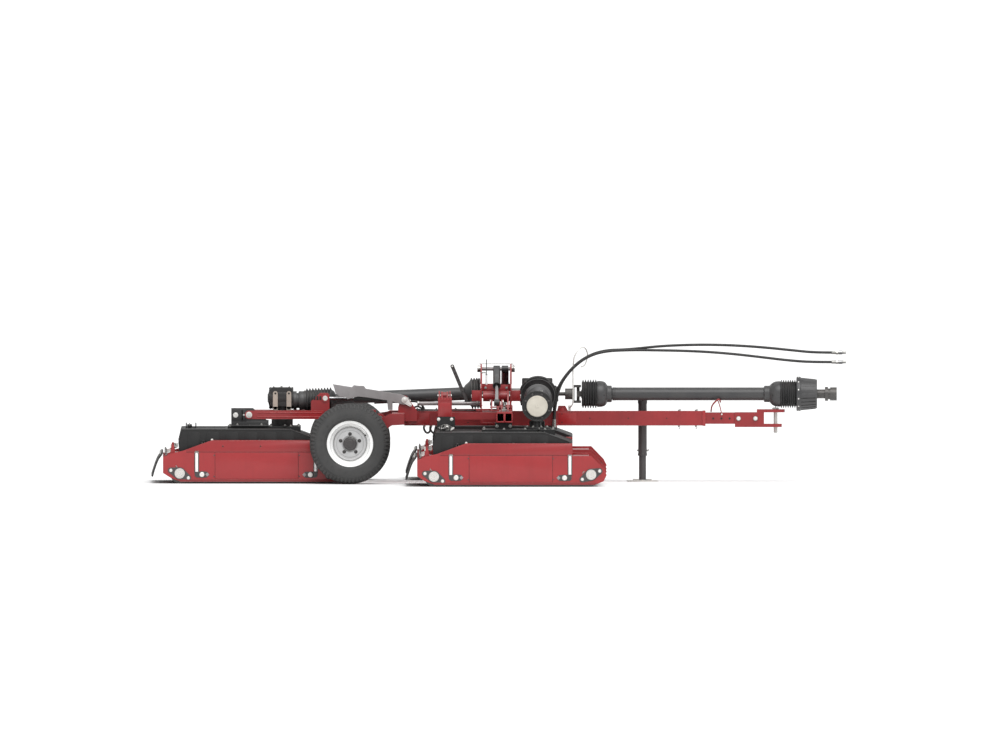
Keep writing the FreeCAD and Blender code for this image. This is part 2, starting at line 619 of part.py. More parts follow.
# lift tower: two portal plates joined low by cross boxes, with fold-pin boxes
tower = []
hole = [(-150, 500), (150, 500), (150, 700), (60, 778), (-60, 778), (-150, 700)]
portal = [(-275, 430), (-150, 430), (-150, 519), (-150, 700), (-60, 778), (60, 778), (150, 700), (150, 519), (150, 430), (275, 430),
          (275, 690), (110, 862), (-110, 862), (-275, 690)]
portal = [(a, tower_top if b == 862 else b) for a, b in portal]
tower.append(prism("YZ", portal, tower_r, tower_r + 10))
tower.append(prism("YZ", portal, tower_f - 10, tower_f))
for k in (1, -1):
    tower.append(box(-88, 118, k * beam_half, k * 275, 430, 438))
    tower.append(box(-88, 118, k * beam_half, k * 275, 507, 515))
    tower.append(box(-88, -80, k * beam_half, k * 275, 438, 507))
    tower.append(box(110, 118, k * beam_half, k * 275, 438, 507))
    tower.append(cut(box(-162, -98, k * 200, k * 278, 594, 673), box(-156, -98, k * 206, k * 272, 600, 667)))
    tower.append(cut(box(128, 192, k * 200, k * 278, 594, 673), box(128, 186, k * 206, k * 272, 600, 667)))
node("lift_tower", *tower, cyl("X", bar_rad, -114, 144, 0, bar_z),
     cyl("X", 24, -122, -98, 0, bar_z), cyl("X", 24, 128, 152, 0, bar_z),
     cyl("X", 15, -150, 180, fold_y, fold_z), cyl("X", 15, -150, 180, -fold_y, fold_z))

# splitter gearbox: block on the beam, input nose, cross outputs with cups
sg = [box(box_x - 80, box_x + 80, -95, 95, 548, 718), box(box_x - 70, box_x + 70, -52, 52, beam_top, 548),
      cyl("X", 55, box_x + 80, 470, 0, pto_z),
      cyl("X", 35, -60, box_x - 80, 0, drive_fz), cyl("X", 22, -84, -60, 0, drive_fz)]
for k in (1, -1):
    sg.append(cyl("Y", 45, k * 95, k * 112, box_x, fold_z))
    sg.append(cyl("Y", 22, k * 112, k * 178, box_x, fold_z))
    sg.append(turned("Y", [(30, 0), (125, 0), (125, 66), (120, 66), (120, 5), (30, 5)], box_x, k * 112, fold_z, flip=(k < 0)))
    sg.append(box(box_x - 50, box_x + 50, k * 164, k * 180, fold_z - 24, fold_z + 24))
    sg.append(box(box_x - 50, box_x - 37, k * 180, k * 264, fold_z - 22, fold_z + 22))
    sg.append(box(box_x + 37, box_x + 50, k * 180, k * 264, fold_z - 22, fold_z + 22))
sg += [box(-98 - 8, -84, -34, 34, drive_fz - 20, drive_fz + 20),
       cyl("Y", 9, -34, 34, drive_fx, drive_fz),
       box(-136, -98, 22, 34, drive_fz - 18, drive_fz + 18), box(-136, -98, -34, -22, drive_fz - 18, drive_fz + 18)]
node("splitter_gearbox", *sg)

# ---- power take-off shaft ----------------------------------------------
ear = [(573, 66), (635, 66), (635, 48), (588, 48), (588, -48), (635, -48), (635, -66), (573, -66)]
node("pto_inner_shaft",
     cyl("X", 13.5, 470.5, 518, 0, pto_z), cyl("X", 40, 518, 573, 0, pto_z),
     prism("XZ", [(a, pto_z + b) for a, b in ear], -24, 24),
     cyl("Z", 11, pto_z - 48, pto_z + 48, 614, 0), cyl("Y", 11, -40, 40, 614, 0 + pto_z),
     box(636, 650, -46, 46, pto_z - 30, pto_z + 30), box(604, 650, 38, 46, pto_z - 20, pto_z + 20),
     box(604, 650, -46, -38, pto_z - 20, pto_z + 20),
     cyl("X", 20, 640, 1500, 0, pto_z))

def rings(x0, pitch, n, r_in, r_out, half):
    pts = []
    for i in range(n):
        c = x0 + i * pitch
        pts += [(r_in, c - half), (r_out, c - half * 0.4), (r_out, c + half * 0.4), (r_in, c + half)]
    return pts

outer = [(92, 640)] + [(r, a) for r, a in rings(651, 22.4, 5, 92, 106, 8)] + [(94, 762), (94, 800), (66, 822), (60, 826), (60, 858), (40, 858), (40, 1500),
        (36, 1500), (36, 830), (62, 818), (88, 798), (88, 640)]
node("pto_guard_rear", turned("X", outer, 0, 0, pto_z))

outer = [(43, 864), (47.5, 864), (47.5, 1971), (60, 1973), (60, 2013), (66, 2017), (92, 2060), (92, 2096)] + \
        rings(2104, 17.5, 6, 92, 104, 6.5) + [(94, 2206), (125, 2209), (125, 2237), (119, 2240), (105, 2358), (99, 2358), (112, 2236),
        (88, 2202), (88, 2064), (60, 2026), (43, 2022)]
node("pto_guard_front", turned("X", outer, 0, 0, pto_z))

node("pto_outer_shaft",
     cut(cyl("X", 30, 900, 2160, 0, pto_z), cyl("X", 22, 890, 2080, 0, pto_z)),
     box(2160, 2176, -44, 44, pto_z - 26, pto_z + 26), box(2176, 2235, 32, 44, pto_z - 20, pto_z + 20),
     box(2176, 2235, -44, -32, pto_z - 20, pto_z + 20),
     cyl("Y", 11, -34, 34, 2214, pto_z), cyl("Z", 11, pto_z - 34, pto_z + 34, 2214, 0),
     box(2196, 2264, -20, 20, pto_z + 33, pto_z + 45), box(2196, 2264, -20, 20, pto_z - 45, pto_z - 33),
     box(2250, 2266, -24, 24, pto_z - 45, pto_z + 45),
     cut(fuse(cyl("X", 33, 2264, 2420, 0, pto_z), cyl("X", 51, 2415, 2438, 0, pto_z), cyl("X", 40, 2436, 2456, 0, pto_z),
              cyl("X", 48.5, 2453, pto_end, 0, pto_z)),
         cyl("X", 17.5, 2400, pto_end + 1, 0, pto_z)))

# ---- wheels -------------------------------------------------------------
for tag, k in (("right", -1), ("left", 1)):
    hw = tyre_w / 2
    tyre = [(rim_rad + 3.6, -hw + 28), (flange_rad + 0.5, -hw + 28), (flange_rad + 2, -hw + 14), (flange_rad + 14, -hw + 3),
            (tyre_rad - 75, -hw), (tyre_rad - 40, -hw + 4), (tyre_rad - 12, -hw + 20), (tyre_rad, -hw + 44),
            (tyre_rad, hw - 44), (tyre_rad - 12, hw - 20), (tyre_rad - 40, hw - 4), (tyre_rad - 75, hw),
            (flange_rad + 14, hw - 3), (flange_rad + 2, hw - 14), (flange_rad + 0.5, hw - 28), (rim_rad + 3.6, hw - 28), (rim_rad + 0.3, hw - 39.5),
            (rim_rad + 0.3, hw - 48), (rim_rad + 26, hw - 38), (tyre_rad - 45, hw - 18), (tyre_rad - 20, hw - 44),
            (tyre_rad - 20, -hw + 44), (tyre_rad - 45, -hw + 18), (rim_rad + 26, -hw + 38), (rim_rad + 0.3, -hw + 48), (rim_rad + 0.3, -hw + 39.5)]
    node(tag + "_tyre", turned("Y", tyre, wheel_x, k * wheel_y, tyre_rad, flip=(k < 0)))
    rim = [(rim_rad, -95), (rim_rad + 3, -106), (flange_rad, -113.5), (flange_rad, -118), (rim_rad + 1, -114), (rim_rad - 5, -106),
           (rim_rad - 5, 30), (120, 44), (62, 44), (62, -60), (stub_rad + run_gap, -60), (stub_rad + run_gap, 42), (0, 42), (0, 92), (34, 92), (47, 84),
           (47, 54), (62, 52), (118, 52), (rim_rad - 5, 62), (rim_rad - 5, 106), (rim_rad + 1, 114), (flange_rad, 118), (flange_rad, 113.5),
           (rim_rad + 3, 106), (rim_rad, 95)]
    rimb = turned("Y", rim, wheel_x, k * wheel_y, tyre_rad, flip=(k < 0))
    nuts = []
    for i in range(5):
        a = math.radians(90 + 72 * i)
        nuts.append(cyl("Y", 10, k * (wheel_y + 51), k * (wheel_y + 66), wheel_x + 68 * math.cos(a), tyre_rad + 68 * math.sin(a)))
    node(tag + "_rim", rimb, *nuts)

# ---- parking jack -------------------------------------------------------
node("jack_tube", cut(cyl("Z", 31.5, 189, 595, jack_x, jack_y), cyl("Z", 27.5, 180, 588, jack_x, jack_y)),
     cut(box(jack_x - 36, jack_x + 36, beam_half, jack_y - 20, 425, 505), cyl("Z", 29, 420, 510, jack_x, jack_y)),
     cyl("Z", 12, 595, 612, jack_x, jack_y), box(jack_x - 6, jack_x + 6, jack_y - 6, jack_y + 90, 604, 612),
     cyl("Z", 8, 612, 660, jack_x, jack_y + 82))
node("jack_leg", cut(cyl("Z", 26, 4, 330, jack_x, jack_y), cyl("Z", 22, 14, 340, jack_x, jack_y)),
     cyl("Z", 115, 0, 9.6, jack_x, jack_y))

# ---- rear arm and deck fittings -----------------------------------------
rarm = []
for k in (1, -1):
    rarm.append(cut(cyl("Y", 36, k * 76, k * 192, pivot_x, pivot_z), cyl("Y", 20 + run_gap, k * 70, k * 200, pivot_x, pivot_z)))
    rarm.append(cut(box(-1825, pivot_x - 30, k * 128, k * 188, rarm_bot, rarm_top), box(-1830, pivot_x - 40, k * 134, k * 182, rarm_bot + 6, rarm_top - 6)))
    rarm.append(box(-1825, -1819, k * 128, k * 188, rarm_bot, rarm_top))
    # saddle plates on the deck that carry the arm's rear pin
    rarm.append(prism("XZ", [(-1918, bridge_z), (-1645, bridge_z), (-1645, 440), (-1690, 468), (-1740, 520), (-1760, 535), (-1815, 535), (-1850, 500), (-1918, 450)],
                      k * 194, k * 204))
    rarm.append(box(-1918, -1645, k * 194, k * 250, bridge_z, bridge_z + 8))
rarm.append(cut(box(-1336, -1240, -188, 188, rarm_bot, 500), box(-1330, -1246, -190, 190, rarm_bot + 6, 494)))
rarm.append(cyl("Y", 21, -212, 212, -1788, 493))
rarm.append(cyl("Y", 30, -216, -204, -1788, 493))
rarm.append(cyl("Y", 30, 204, 216, -1788, 493))
for y0 in (-196, -134):
    rarm.append(prism("XZ", [(-1336, 480), (-1201, 480), (-1201, 640), (-1215, 652), (-1270, 652), (-1336, 590)], y0, y0 + 10))
rarm.append(cyl("Y", 28, -202, -196, rcyl_ax, rcyl_az))
rarm.append(cyl("Y", 28, -124, -118, rcyl_ax, rcyl_az))
node("rear_arm", *rarm)

gx = rear_x + 176
node("rear_gearbox", cyl("Z", 78, bridge_z, bridge_z + 48, gx, 0), cyl("Z", 50, bridge_z + 48, 560, gx, 0),
     cyl("X", 78, gx - 92, gx + 82, 0, 612),
     cyl("X", 60, gx + 82, gx + 92, 0, 600), cyl("X", 18, gx + 92, gx + 108, 0, drive_rz),
     cut(cyl("X", 68, gx + 82, -1440, 0, drive_rz), cyl("X", 62, gx + 90, -1430, 0, drive_rz)))

# rear cylinder
rdx, rdz = val(rcyl_ax) - val(rcyl_fx), val(rcyl_az) - val(rcyl_fz)
rlen = math.hypot(rdx, rdz)
rrot = FreeCAD.Rotation(V(0, 0, 1), V(rdx / rlen, 0, rdz / rlen))


def rod_y(rad, a0, a1):
    o = doc.addObject("Part::Cylinder", nm("cylinder"))
    o.Radius = rad
    o.Height = a1 - a0
    o.Placement = FreeCAD.Placement(V(val(rcyl_fx), val(rcyl_y), val(rcyl_fz)) + rrot.multVec(V(0, 0, a0)), rrot)
    return o


node("rear_lift_barrel",
     cut(fuse(rod_y(26, 20, 372), cyl("Y", 26, rcyl_y - 22, rcyl_y + 22, rcyl_fx, rcyl_fz)),
         rod_y(20, 32, 360), rod_y(12.6, 350, 380),
         cyl("Y", 15 + run_gap, rcyl_y - 30, rcyl_y + 30, rcyl_fx, rcyl_fz)))
node("rear_lift_rod",
     cut(fuse(rod_y(12, 300, rlen - 10), cyl("Y", 24, rcyl_y - 20, rcyl_y + 20, rcyl_ax, rcyl_az)),
         cyl("Y", 13, rcyl_y - 24, rcyl_y + 24, rcyl_ax, rcyl_az)))

# rear driveline: front half swings on the front joint, rear half slides in it
ddx, ddz = val(drive_rx) - val(drive_fx), val(drive_rz) - val(drive_fz)
dlen = math.hypot(ddx, ddz)
drot = FreeCAD.Rotation(V(0, 0, 1), V(ddx / dlen, 0, ddz / dlen))


def drive_turn(pts):
    b = doc.addObject("PartDesign::Body", nm("turned"))
    sk = b.newObject("Sketcher::SketchObject", nm("profile"))
    sk.AttachmentSupport = [(plane_of(b, "XZ_Plane"), "")]
    sk.MapMode = "FlatFace"
    outline(sk, pts)
    rev = b.newObject("PartDesign::Revolution", nm("revolution"))
    rev.Profile = sk
    rev.ReferenceAxis = (sk, ["V_Axis"])
    rev.Angle = 360
    b.Tip = rev
    seat(b, drive_fx, 0, drive_fz, drot)
    return b


node("rear_drive_front",
     drive_turn([(98, -20), (104, -20), (113, -10)] + [(r, a) for r, a in rings(4, 20, 3, 100, 113, 8)] +
                [(86, 62), (62, 92), (47.5, 100), (47.5, 760), (43, 760), (43, 104), (58, 92), (80, 60), (98, 46)]),
     drive_turn([(0, 30), (24, 30), (24, 70), (44, 76), (44, 84), (0, 84)]))
node("rear_drive_rear",
     drive_turn([(0, 300), (38, 300), (38, dlen - 262), (60, dlen - 250), (64, dlen - 242)] + rings(dlen - 226, 21.5, 9, 72, 86, 8) +
                [(72, dlen - 40), (72, dlen - 30), (66, dlen - 30), (66, dlen - 236), (56, dlen - 240), (30, dlen - 240), (30, dlen - 20), (0, dlen - 20)]))

# transport latch: two plates on the cylinder's frame pin, held apart by a tab
lp = [(-1176, 716), (-1037, 694), (-1023, 708), (-947, 700), (-936, 683), (-774, 657), (-673, 640), (-622, 618), (-607, 568), (-660, 568), (-690, 575),
      (-740, 590), (-740, 529), (-774, 529), (-780, 599), (-936, 622), (-993, 627), (-1070, 608), (-1081, 622), (-1126, 627), (-1159, 655), (-1164, 680)]
latch = []
for y0 in (-214, -112):
    latch.append(cut(prism("XZ", lp, y0, y0 + 6), cyl("Y", 15 + run_gap, -230, -90, rcyl_fx, rcyl_fz)))
latch.append(box(-1000, -952, -214, -106, 698, 704))
node("transport_latch", *latch)

# ---- stands and guides for shaft and hoses ------------------------------
node("hose_guide", bent([(551, -28, 545), (562, -92, 549), (577, -126, 575), (577, -128, 850), (586, -182, 925), (628, -165, 985),
                         (668, -105, 985), (688, -66, 925), (664, -72, 850), (640, -125, 842)], 5),
     box(541, 561, -30, 30, beam_top, 558))

# hydraulic hoses: from the bulkhead block on the beam up through the guide and
# forward above the drawbar to their couplers
route_a = [(437, -78, 415), (437, -78, 500), (441, -79, 585), (456, -82, 662), (490, -88, 732), (537, -95, 796), (594, -100, 857),
           (663, -103, 908), (745, -106, 946), (840, -108, 965), (942, -110, 967), (1060, -111, 977), (1200, -112, 992), (1370, -112, 1001),
           (1560, -111, 1004), (1770, -109, 998), (1980, -106, 983), (2180, -102, 962), (2340, -100, 946), (2465, -100, 946)]
route_b = [(441, -101, 415), (441, -101, 500), (453, -104, 583), (468, -112, 658), (495, -126, 729), (540, -140, 793), (596, -149, 853),
           (664, -152, 904), (744, -150, 940), (839, -145, 958), (942, -141, 963), (1055, -138, 965), (1190, -135, 963), (1360, -132, 960),
           (1550, -129, 952), (1750, -127, 936), (1950, -126, 913), (2130, -125, 891), (2300, -125, 877), (2465, -125, 877)]
bent(route_a, hose_rad, "hose_upper", True)
bent(route_b, hose_rad, "hose_lower", True)
for tag, y, z in (("upper", -100, 946), ("lower", -125, 877)):
    node("coupler_" + tag, cyl("X", 12, 2465, 2496, y, z), cyl("X", 14.5, 2496, 2514, y, z), cyl("X", 11.5, 2514, 2545, y, z),
         cyl("X", 10, 2545, 2569, y, z))

# ---- recompute, check and write ----------------------------------------
doc.recompute()
bad = []
for o in doc.Objects:
    state = " ".join(o.State)
    if "Invalid" in state or "Error" in state:
        bad.append("%s (%s): %s" % (o.Name, o.Label, state))
for o in NODES:
    if o.Shape.isNull() or not o.Shape.isValid():
        bad.append("%s: shape is null or not valid" % o.Label)
    elif not o.Shape.Solids:
        bad.append("%s: no solid" % o.Label)
if bad:
    raise SystemExit("\n".join(bad))
os.makedirs("parts", exist_ok=True)
for o in NODES:
    o.Shape.exportStep("parts/%s.step" % o.Label)
print(len(NODES), "nodes written")
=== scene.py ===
import bpy, bmesh, json, math, random
from mathutils import Vector, Matrix


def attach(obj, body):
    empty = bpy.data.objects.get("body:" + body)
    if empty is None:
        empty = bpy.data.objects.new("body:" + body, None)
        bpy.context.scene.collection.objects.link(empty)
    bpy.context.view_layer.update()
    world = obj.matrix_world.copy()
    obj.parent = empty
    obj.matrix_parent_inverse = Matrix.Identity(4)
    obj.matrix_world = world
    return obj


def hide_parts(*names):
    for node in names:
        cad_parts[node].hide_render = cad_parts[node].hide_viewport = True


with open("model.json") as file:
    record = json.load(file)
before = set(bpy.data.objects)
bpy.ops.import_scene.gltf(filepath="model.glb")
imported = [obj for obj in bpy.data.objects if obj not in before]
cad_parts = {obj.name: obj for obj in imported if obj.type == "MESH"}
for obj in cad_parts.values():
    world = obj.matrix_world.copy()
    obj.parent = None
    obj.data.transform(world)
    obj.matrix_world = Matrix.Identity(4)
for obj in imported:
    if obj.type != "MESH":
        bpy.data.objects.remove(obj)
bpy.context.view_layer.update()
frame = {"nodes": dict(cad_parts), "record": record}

NODES = frame["nodes"]
MM = 0.001
SC = bpy.context.scene
SC.view_settings.view_transform = "Standard"


# ------------------------------------------------------------------ materials
class Nt:
    def __init__(self, name):
        self.m = bpy.data.materials.new(name)
        self.m.use_nodes = True
        self.t = self.m.node_tree
        self.t.nodes.clear()
        self.out = self.n("ShaderNodeOutputMaterial")
        self.b = self.n("ShaderNodeBsdfPrincipled")
        self.l(self.b.outputs[0], self.out.inputs[0])
        self.tc = self.n("ShaderNodeTexCoord")
        self.obj = self.tc.outputs["Object"]

    def n(self, kind, **kw):
        x = self.t.nodes.new(kind)
        for k, v in kw.items():
            setattr(x, k, v)
        return x

    def l(self, a, b):
        self.t.links.new(a, b)

    def noise(self, scale, detail=4, rough=0.55, vec=None, dist=0.0):
        x = self.n("ShaderNodeTexNoise")
        x.inputs["Scale"].default_value = scale
        x.inputs["Detail"].default_value = detail
        x.inputs["Roughness"].default_value = rough
        x.inputs["Distortion"].default_value = dist
        self.l(vec or self.obj, x.inputs["Vector"])
        return x.outputs["Fac"]

    def scaled(self, sx, sy, sz, rot=(0, 0, 0)):
        x = self.n("ShaderNodeMapping")
        x.inputs["Scale"].default_value = (sx, sy, sz)
        x.inputs["Rotation"].default_value = rot
        self.l(self.obj, x.inputs["Vector"])
        return x.outputs[0]

    def rng(self, src, a, b, c=0.0, d=1.0, smooth=False):
        x = self.n("ShaderNodeMapRange")
        x.clamp = True
        if smooth:
            x.interpolation_type = "SMOOTHSTEP"
        for i, v in enumerate((a, b, c, d)):
            x.inputs[i + 1].default_value = v
        self.l(src, x.inputs[0])
        return x.outputs[0]

    def math(self, op, a, b=None, clamp=False):
        x = self.n("ShaderNodeMath", operation=op)
        x.use_clamp = clamp
        for i, v in enumerate((a, b)):
            if v is None:
                continue
            if isinstance(v, (int, float)):
                x.inputs[i].default_value = v
            else:
                self.l(v, x.inputs[i])
        return x.outputs[0]

    def mix(self, fac, a, b):
        x = self.n("ShaderNodeMix", data_type="RGBA")
        if isinstance(fac, (int, float)):
            x.inputs[0].default_value = fac
        else:
            self.l(fac, x.inputs[0])
        for i, v in ((6, a), (7, b)):
            if isinstance(v, tuple):
                x.inputs[i].default_value = (*v, 1)
            else:
                self.l(v, x.inputs[i])
        return x.outputs[2]

    def set(self, **kw):
        names = {"metal": "Metallic", "spec": "Specular IOR Level", "coat": "Coat Weight", "coat_rough": "Coat Roughness",
                 "sheen": "Sheen Weight", "rough": "Roughness", "aniso": "Anisotropic"}
        for k, v in kw.items():
            self.b.inputs[names[k]].default_value = v


MATS = {}


def surf(name, c1, c2, rough=(0.35, 0.5), metal=0.0, spec=0.5, coat=0.0, coat_rough=0.15, vscale=5.0,
         bump=(220, 0.00025), coarse=None, edge_wear_and_highlight=None, wear_amt=0.5, dust=0.12, dustc=(0.42, 0.37, 0.32), edge=0.0025,
         streak=0.0, wear_metal=0.0, round_edge=True, shade=None):
    k = Nt(name)
    k.set(metal=metal, spec=spec, coat=coat, coat_rough=coat_rough)
    big = k.noise(vscale, 6, 0.6)
    col = k.mix(k.rng(big, 0.32, 0.68), c1, c2)
    fine = k.noise(vscale * 17, 4, 0.6)
    ro = k.rng(k.math("ADD", k.math("MULTIPLY", big, 0.55), k.math("MULTIPLY", fine, 0.45)), 0.3, 0.7, rough[0], rough[1])
    if streak:
        st = k.noise(1.0, 4, 0.6, k.scaled(34, 34, 2.2))
        col = k.mix(k.math("MULTIPLY", k.rng(st, 0.52, 0.78), streak), col, tuple(0.55 * x for x in c2))
    # painted shade and reflection: colour darkens towards the given dark colour as faces turn downwards, upward faces
    # stay light
    if shade:
        se = k.n("ShaderNodeSeparateXYZ")
        k.l(k.tc.outputs["Normal"], se.inputs[0])
        col = k.mix(k.math("MULTIPLY", k.rng(se.outputs[2], 0.85, -0.5), shade[1]), col, shade[0])
    # dust on upward faces
    if dust:
        sep = k.n("ShaderNodeSeparateXYZ")
        k.l(k.tc.outputs["Normal"], sep.inputs[0])
        dn = k.noise(9.0, 6, 0.65)
        up = k.rng(sep.outputs[2], 0.25, 0.95)
        df = k.math("MULTIPLY", k.math("MULTIPLY", up, k.rng(dn, 0.4, 0.72)), dust * 2.0, True)
        col = k.mix(df, col, dustc)
    nrm = None
    if round_edge:
        bev = k.n("ShaderNodeBevel")
        bev.samples = 4
        bev.inputs["Radius"].default_value = edge
        nrm = bev.outputs[0]
        # pale colour along bevelled edges: edge wear, and on the red paints also a painted highlight along the plate
        # edges
        if edge_wear_and_highlight is not None:
            geo = k.n("ShaderNodeNewGeometry")
            dot = k.n("ShaderNodeVectorMath", operation="DOT_PRODUCT")
            k.l(bev.outputs[0], dot.inputs[0])
            k.l(geo.outputs["Normal"], dot.inputs[1])
            e = k.rng(dot.outputs["Value"], 0.995, 0.86)
            wn = k.noise(38, 5, 0.7)
            edge_wear_highlight_mask = k.math("MULTIPLY", k.math("MULTIPLY", e, k.rng(wn, 0.42, 0.62)), wear_amt, True)
            col = k.mix(edge_wear_highlight_mask, col, edge_wear_and_highlight)
    k.l(col, k.b.inputs["Base Color"])
    k.l(ro, k.b.inputs["Roughness"])
    bp = k.n("ShaderNodeBump")
    bp.inputs["Strength"].default_value = 0.55
    bp.inputs["Distance"].default_value = bump[1]
    k.l(k.noise(bump[0], 3, 0.6), bp.inputs["Height"])
    last = bp
    if nrm is not None:
        k.l(nrm, bp.inputs["Normal"])
    if coarse:
        b2 = k.n("ShaderNodeBump")
        b2.inputs["Strength"].default_value = 0.6
        b2.inputs["Distance"].default_value = coarse[1]
        k.l(k.noise(coarse[0], 4, 0.55), b2.inputs["Height"])
        k.l(bp.outputs[0], b2.inputs["Normal"])
        last = b2
    k.l(last.outputs[0], k.b.inputs["Normal"])
    MATS[name] = k.m
    return k


# the reds' pale pink edge colour is edge wear and also a painted highlight along the plate edges
RED1, RED2 = (0.345, 0.0175, 0.0205), (0.29, 0.014, 0.0165)
surf("red_enamel", RED1, RED2, (0.30, 0.42), coat=0.35, coat_rough=0.18, vscale=3.2, bump=(160, 0.00022), coarse=(14, 0.0009),
     edge_wear_and_highlight=(0.62, 0.24, 0.22), wear_amt=0.5, dust=0.065, streak=0.18)
surf("red_frame", (0.31, 0.0155, 0.0185), (0.235, 0.012, 0.0145), (0.34, 0.5), coat=0.2, coat_rough=0.25, vscale=4.5, bump=(120, 0.0004),
     coarse=(22, 0.0008), edge_wear_and_highlight=(0.58, 0.22, 0.2), wear_amt=0.5, dust=0.08, streak=0.2)
# darker copy of the red for the upper band: painted shade
surf("red_band_painted_shade", (0.30, 0.0155, 0.0185), (0.25, 0.0125, 0.015), (0.32, 0.45), coat=0.3, coat_rough=0.2, vscale=3.6, bump=(160, 0.00022), coarse=(15, 0.0008),
     edge_wear_and_highlight=(0.58, 0.22, 0.2), wear_amt=0.5, dust=0.10, streak=0.2)
# darker copy of the red for the lower lip: painted shade
surf("red_lip_painted_shade", (0.235, 0.012, 0.0145), (0.20, 0.0105, 0.0125), (0.32, 0.45), coat=0.25, coat_rough=0.2, vscale=3.6, bump=(160, 0.00022), coarse=(15, 0.0008),
     edge_wear_and_highlight=(0.55, 0.22, 0.2), wear_amt=0.6, dust=0.10, streak=0.3)
# dark grey for rings on the wheel disc's pressed steps: painted crease shade
surf("grey_crease_shade", (0.20, 0.20, 0.20), (0.15, 0.15, 0.15), (0.5, 0.6), vscale=12, bump=(160, 0.0002), dust=0.03, round_edge=False)
# near-black red for lines along the panel folds and edges: painted crease shade
surf("red_crease_shade", (0.075, 0.006, 0.007), (0.11, 0.008, 0.009), (0.5, 0.6), vscale=12, bump=(160, 0.0002), dust=0.05, round_edge=False)
surf("black_enamel", (0.022, 0.022, 0.023), (0.034, 0.034, 0.034), (0.32, 0.5), coat=0.15, coat_rough=0.3, vscale=5, bump=(180, 0.0003),
     coarse=(18, 0.0006), edge_wear_and_highlight=(0.22, 0.21, 0.2), wear_amt=0.5, dust=0.10, dustc=(0.3, 0.29, 0.28))
surf("black_cover", (0.0055, 0.0055, 0.006), (0.010, 0.010, 0.010), (0.46, 0.6), coat=0.0, coat_rough=0.35, vscale=4, bump=(420, 0.0004),
     coarse=(9, 0.0016), edge_wear_and_highlight=(0.07, 0.07, 0.07), wear_amt=0.5, dust=0.035, dustc=(0.2, 0.19, 0.18))
surf("cast_iron", (0.017, 0.017, 0.017), (0.028, 0.0275, 0.027), (0.42, 0.62), vscale=7, bump=(260, 0.0011), coarse=(60, 0.0012),
     edge_wear_and_highlight=(0.25, 0.24, 0.23), wear_amt=0.45, dust=0.07, edge=0.0035, dustc=(0.3, 0.29, 0.28))
surf("guard_plastic", (0.040, 0.040, 0.042), (0.060, 0.059, 0.059), (0.33, 0.48), vscale=6, bump=(300, 0.0004), coarse=(24, 0.0006),
     edge_wear_and_highlight=(0.2, 0.2, 0.2), wear_amt=0.4, dust=0.07, edge=0.003, dustc=(0.3, 0.29, 0.27))
surf("rubber_flap", (0.020, 0.020, 0.020), (0.035, 0.034, 0.033), (0.6, 0.8), spec=0.35, vscale=8, bump=(150, 0.0008), coarse=(26, 0.0012),
     edge_wear_and_highlight=(0.09, 0.085, 0.08), wear_amt=0.7, dust=0.3, edge=0.003)
surf("bellows_rubber", (0.030, 0.030, 0.031), (0.048, 0.047, 0.047), (0.42, 0.6), spec=0.45, vscale=9, bump=(260, 0.0005), coarse=(40, 0.0005),
     edge_wear_and_highlight=(0.11, 0.11, 0.11), wear_amt=0.5, dust=0.16)
surf("white_enamel", (0.95, 0.95, 0.945), (0.90, 0.90, 0.885), (0.22, 0.38), coat=0.3, vscale=7, bump=(200, 0.0002), coarse=(30, 0.0004),
     edge_wear_and_highlight=(0.5, 0.47, 0.43), wear_amt=0.4, dust=0.06, dustc=(0.5, 0.45, 0.4))
surf("grey_rim", (0.55, 0.55, 0.55), (0.47, 0.47, 0.47), (0.35, 0.5), metal=0.25, vscale=9, bump=(260, 0.0004), coarse=(40, 0.0005),
     edge_wear_and_highlight=(0.6, 0.6, 0.6), wear_amt=0.4, dust=0.06)
surf("grey_plate", (0.34, 0.325, 0.33), (0.26, 0.25, 0.25), (0.38, 0.56), metal=0.3, vscale=6, bump=(240, 0.0004), coarse=(20, 0.0007),
     edge_wear_and_highlight=(0.45, 0.43, 0.42), wear_amt=0.6, dust=0.12)
# zinc and chrome carry the painted shade: darker as faces turn downwards
surf("zinc", (0.60, 0.59, 0.56), (0.42, 0.42, 0.40), (0.22, 0.42), metal=0.8, vscale=40, bump=(700, 0.0002), edge_wear_and_highlight=(0.85, 0.85, 0.83),
     wear_amt=0.5, dust=0.05, edge=0.001, shade=((0.13, 0.125, 0.12), 0.8))
surf("chrome", (0.50, 0.50, 0.50), (0.40, 0.40, 0.41), (0.12, 0.24), metal=0.95, vscale=12, bump=(500, 0.00005), dust=0.04, edge=0.001,
     shade=((0.05, 0.05, 0.052), 0.9))
surf("raw_steel", (0.30, 0.29, 0.28), (0.20, 0.19, 0.185), (0.3, 0.5), metal=0.9, vscale=14, bump=(420, 0.0003), coarse=(60, 0.0003),
     edge_wear_and_highlight=(0.55, 0.54, 0.52), wear_amt=0.6, dust=0.1, edge=0.0015)
surf("dark_steel", (0.075, 0.073, 0.072), (0.12, 0.115, 0.11), (0.34, 0.52), metal=0.65, vscale=12, bump=(380, 0.0004), coarse=(50, 0.0003),
     edge_wear_and_highlight=(0.35, 0.34, 0.32), wear_amt=0.6, dust=0.1, edge=0.0015)
surf("blade_steel", (0.10, 0.085, 0.075), (0.17, 0.14, 0.12), (0.4, 0.65), metal=0.7, vscale=20, bump=(300, 0.0006), coarse=(50, 0.0006),
     edge_wear_and_highlight=(0.6, 0.58, 0.55), wear_amt=0.9, dust=0.15, edge=0.003)
surf("white_zinc", (0.84, 0.83, 0.80), (0.68, 0.67, 0.64), (0.28, 0.45), metal=0.35, vscale=40, bump=(700, 0.0002), edge_wear_and_highlight=(0.9, 0.9, 0.88),
     wear_amt=0.5, dust=0.03, edge=0.0008)
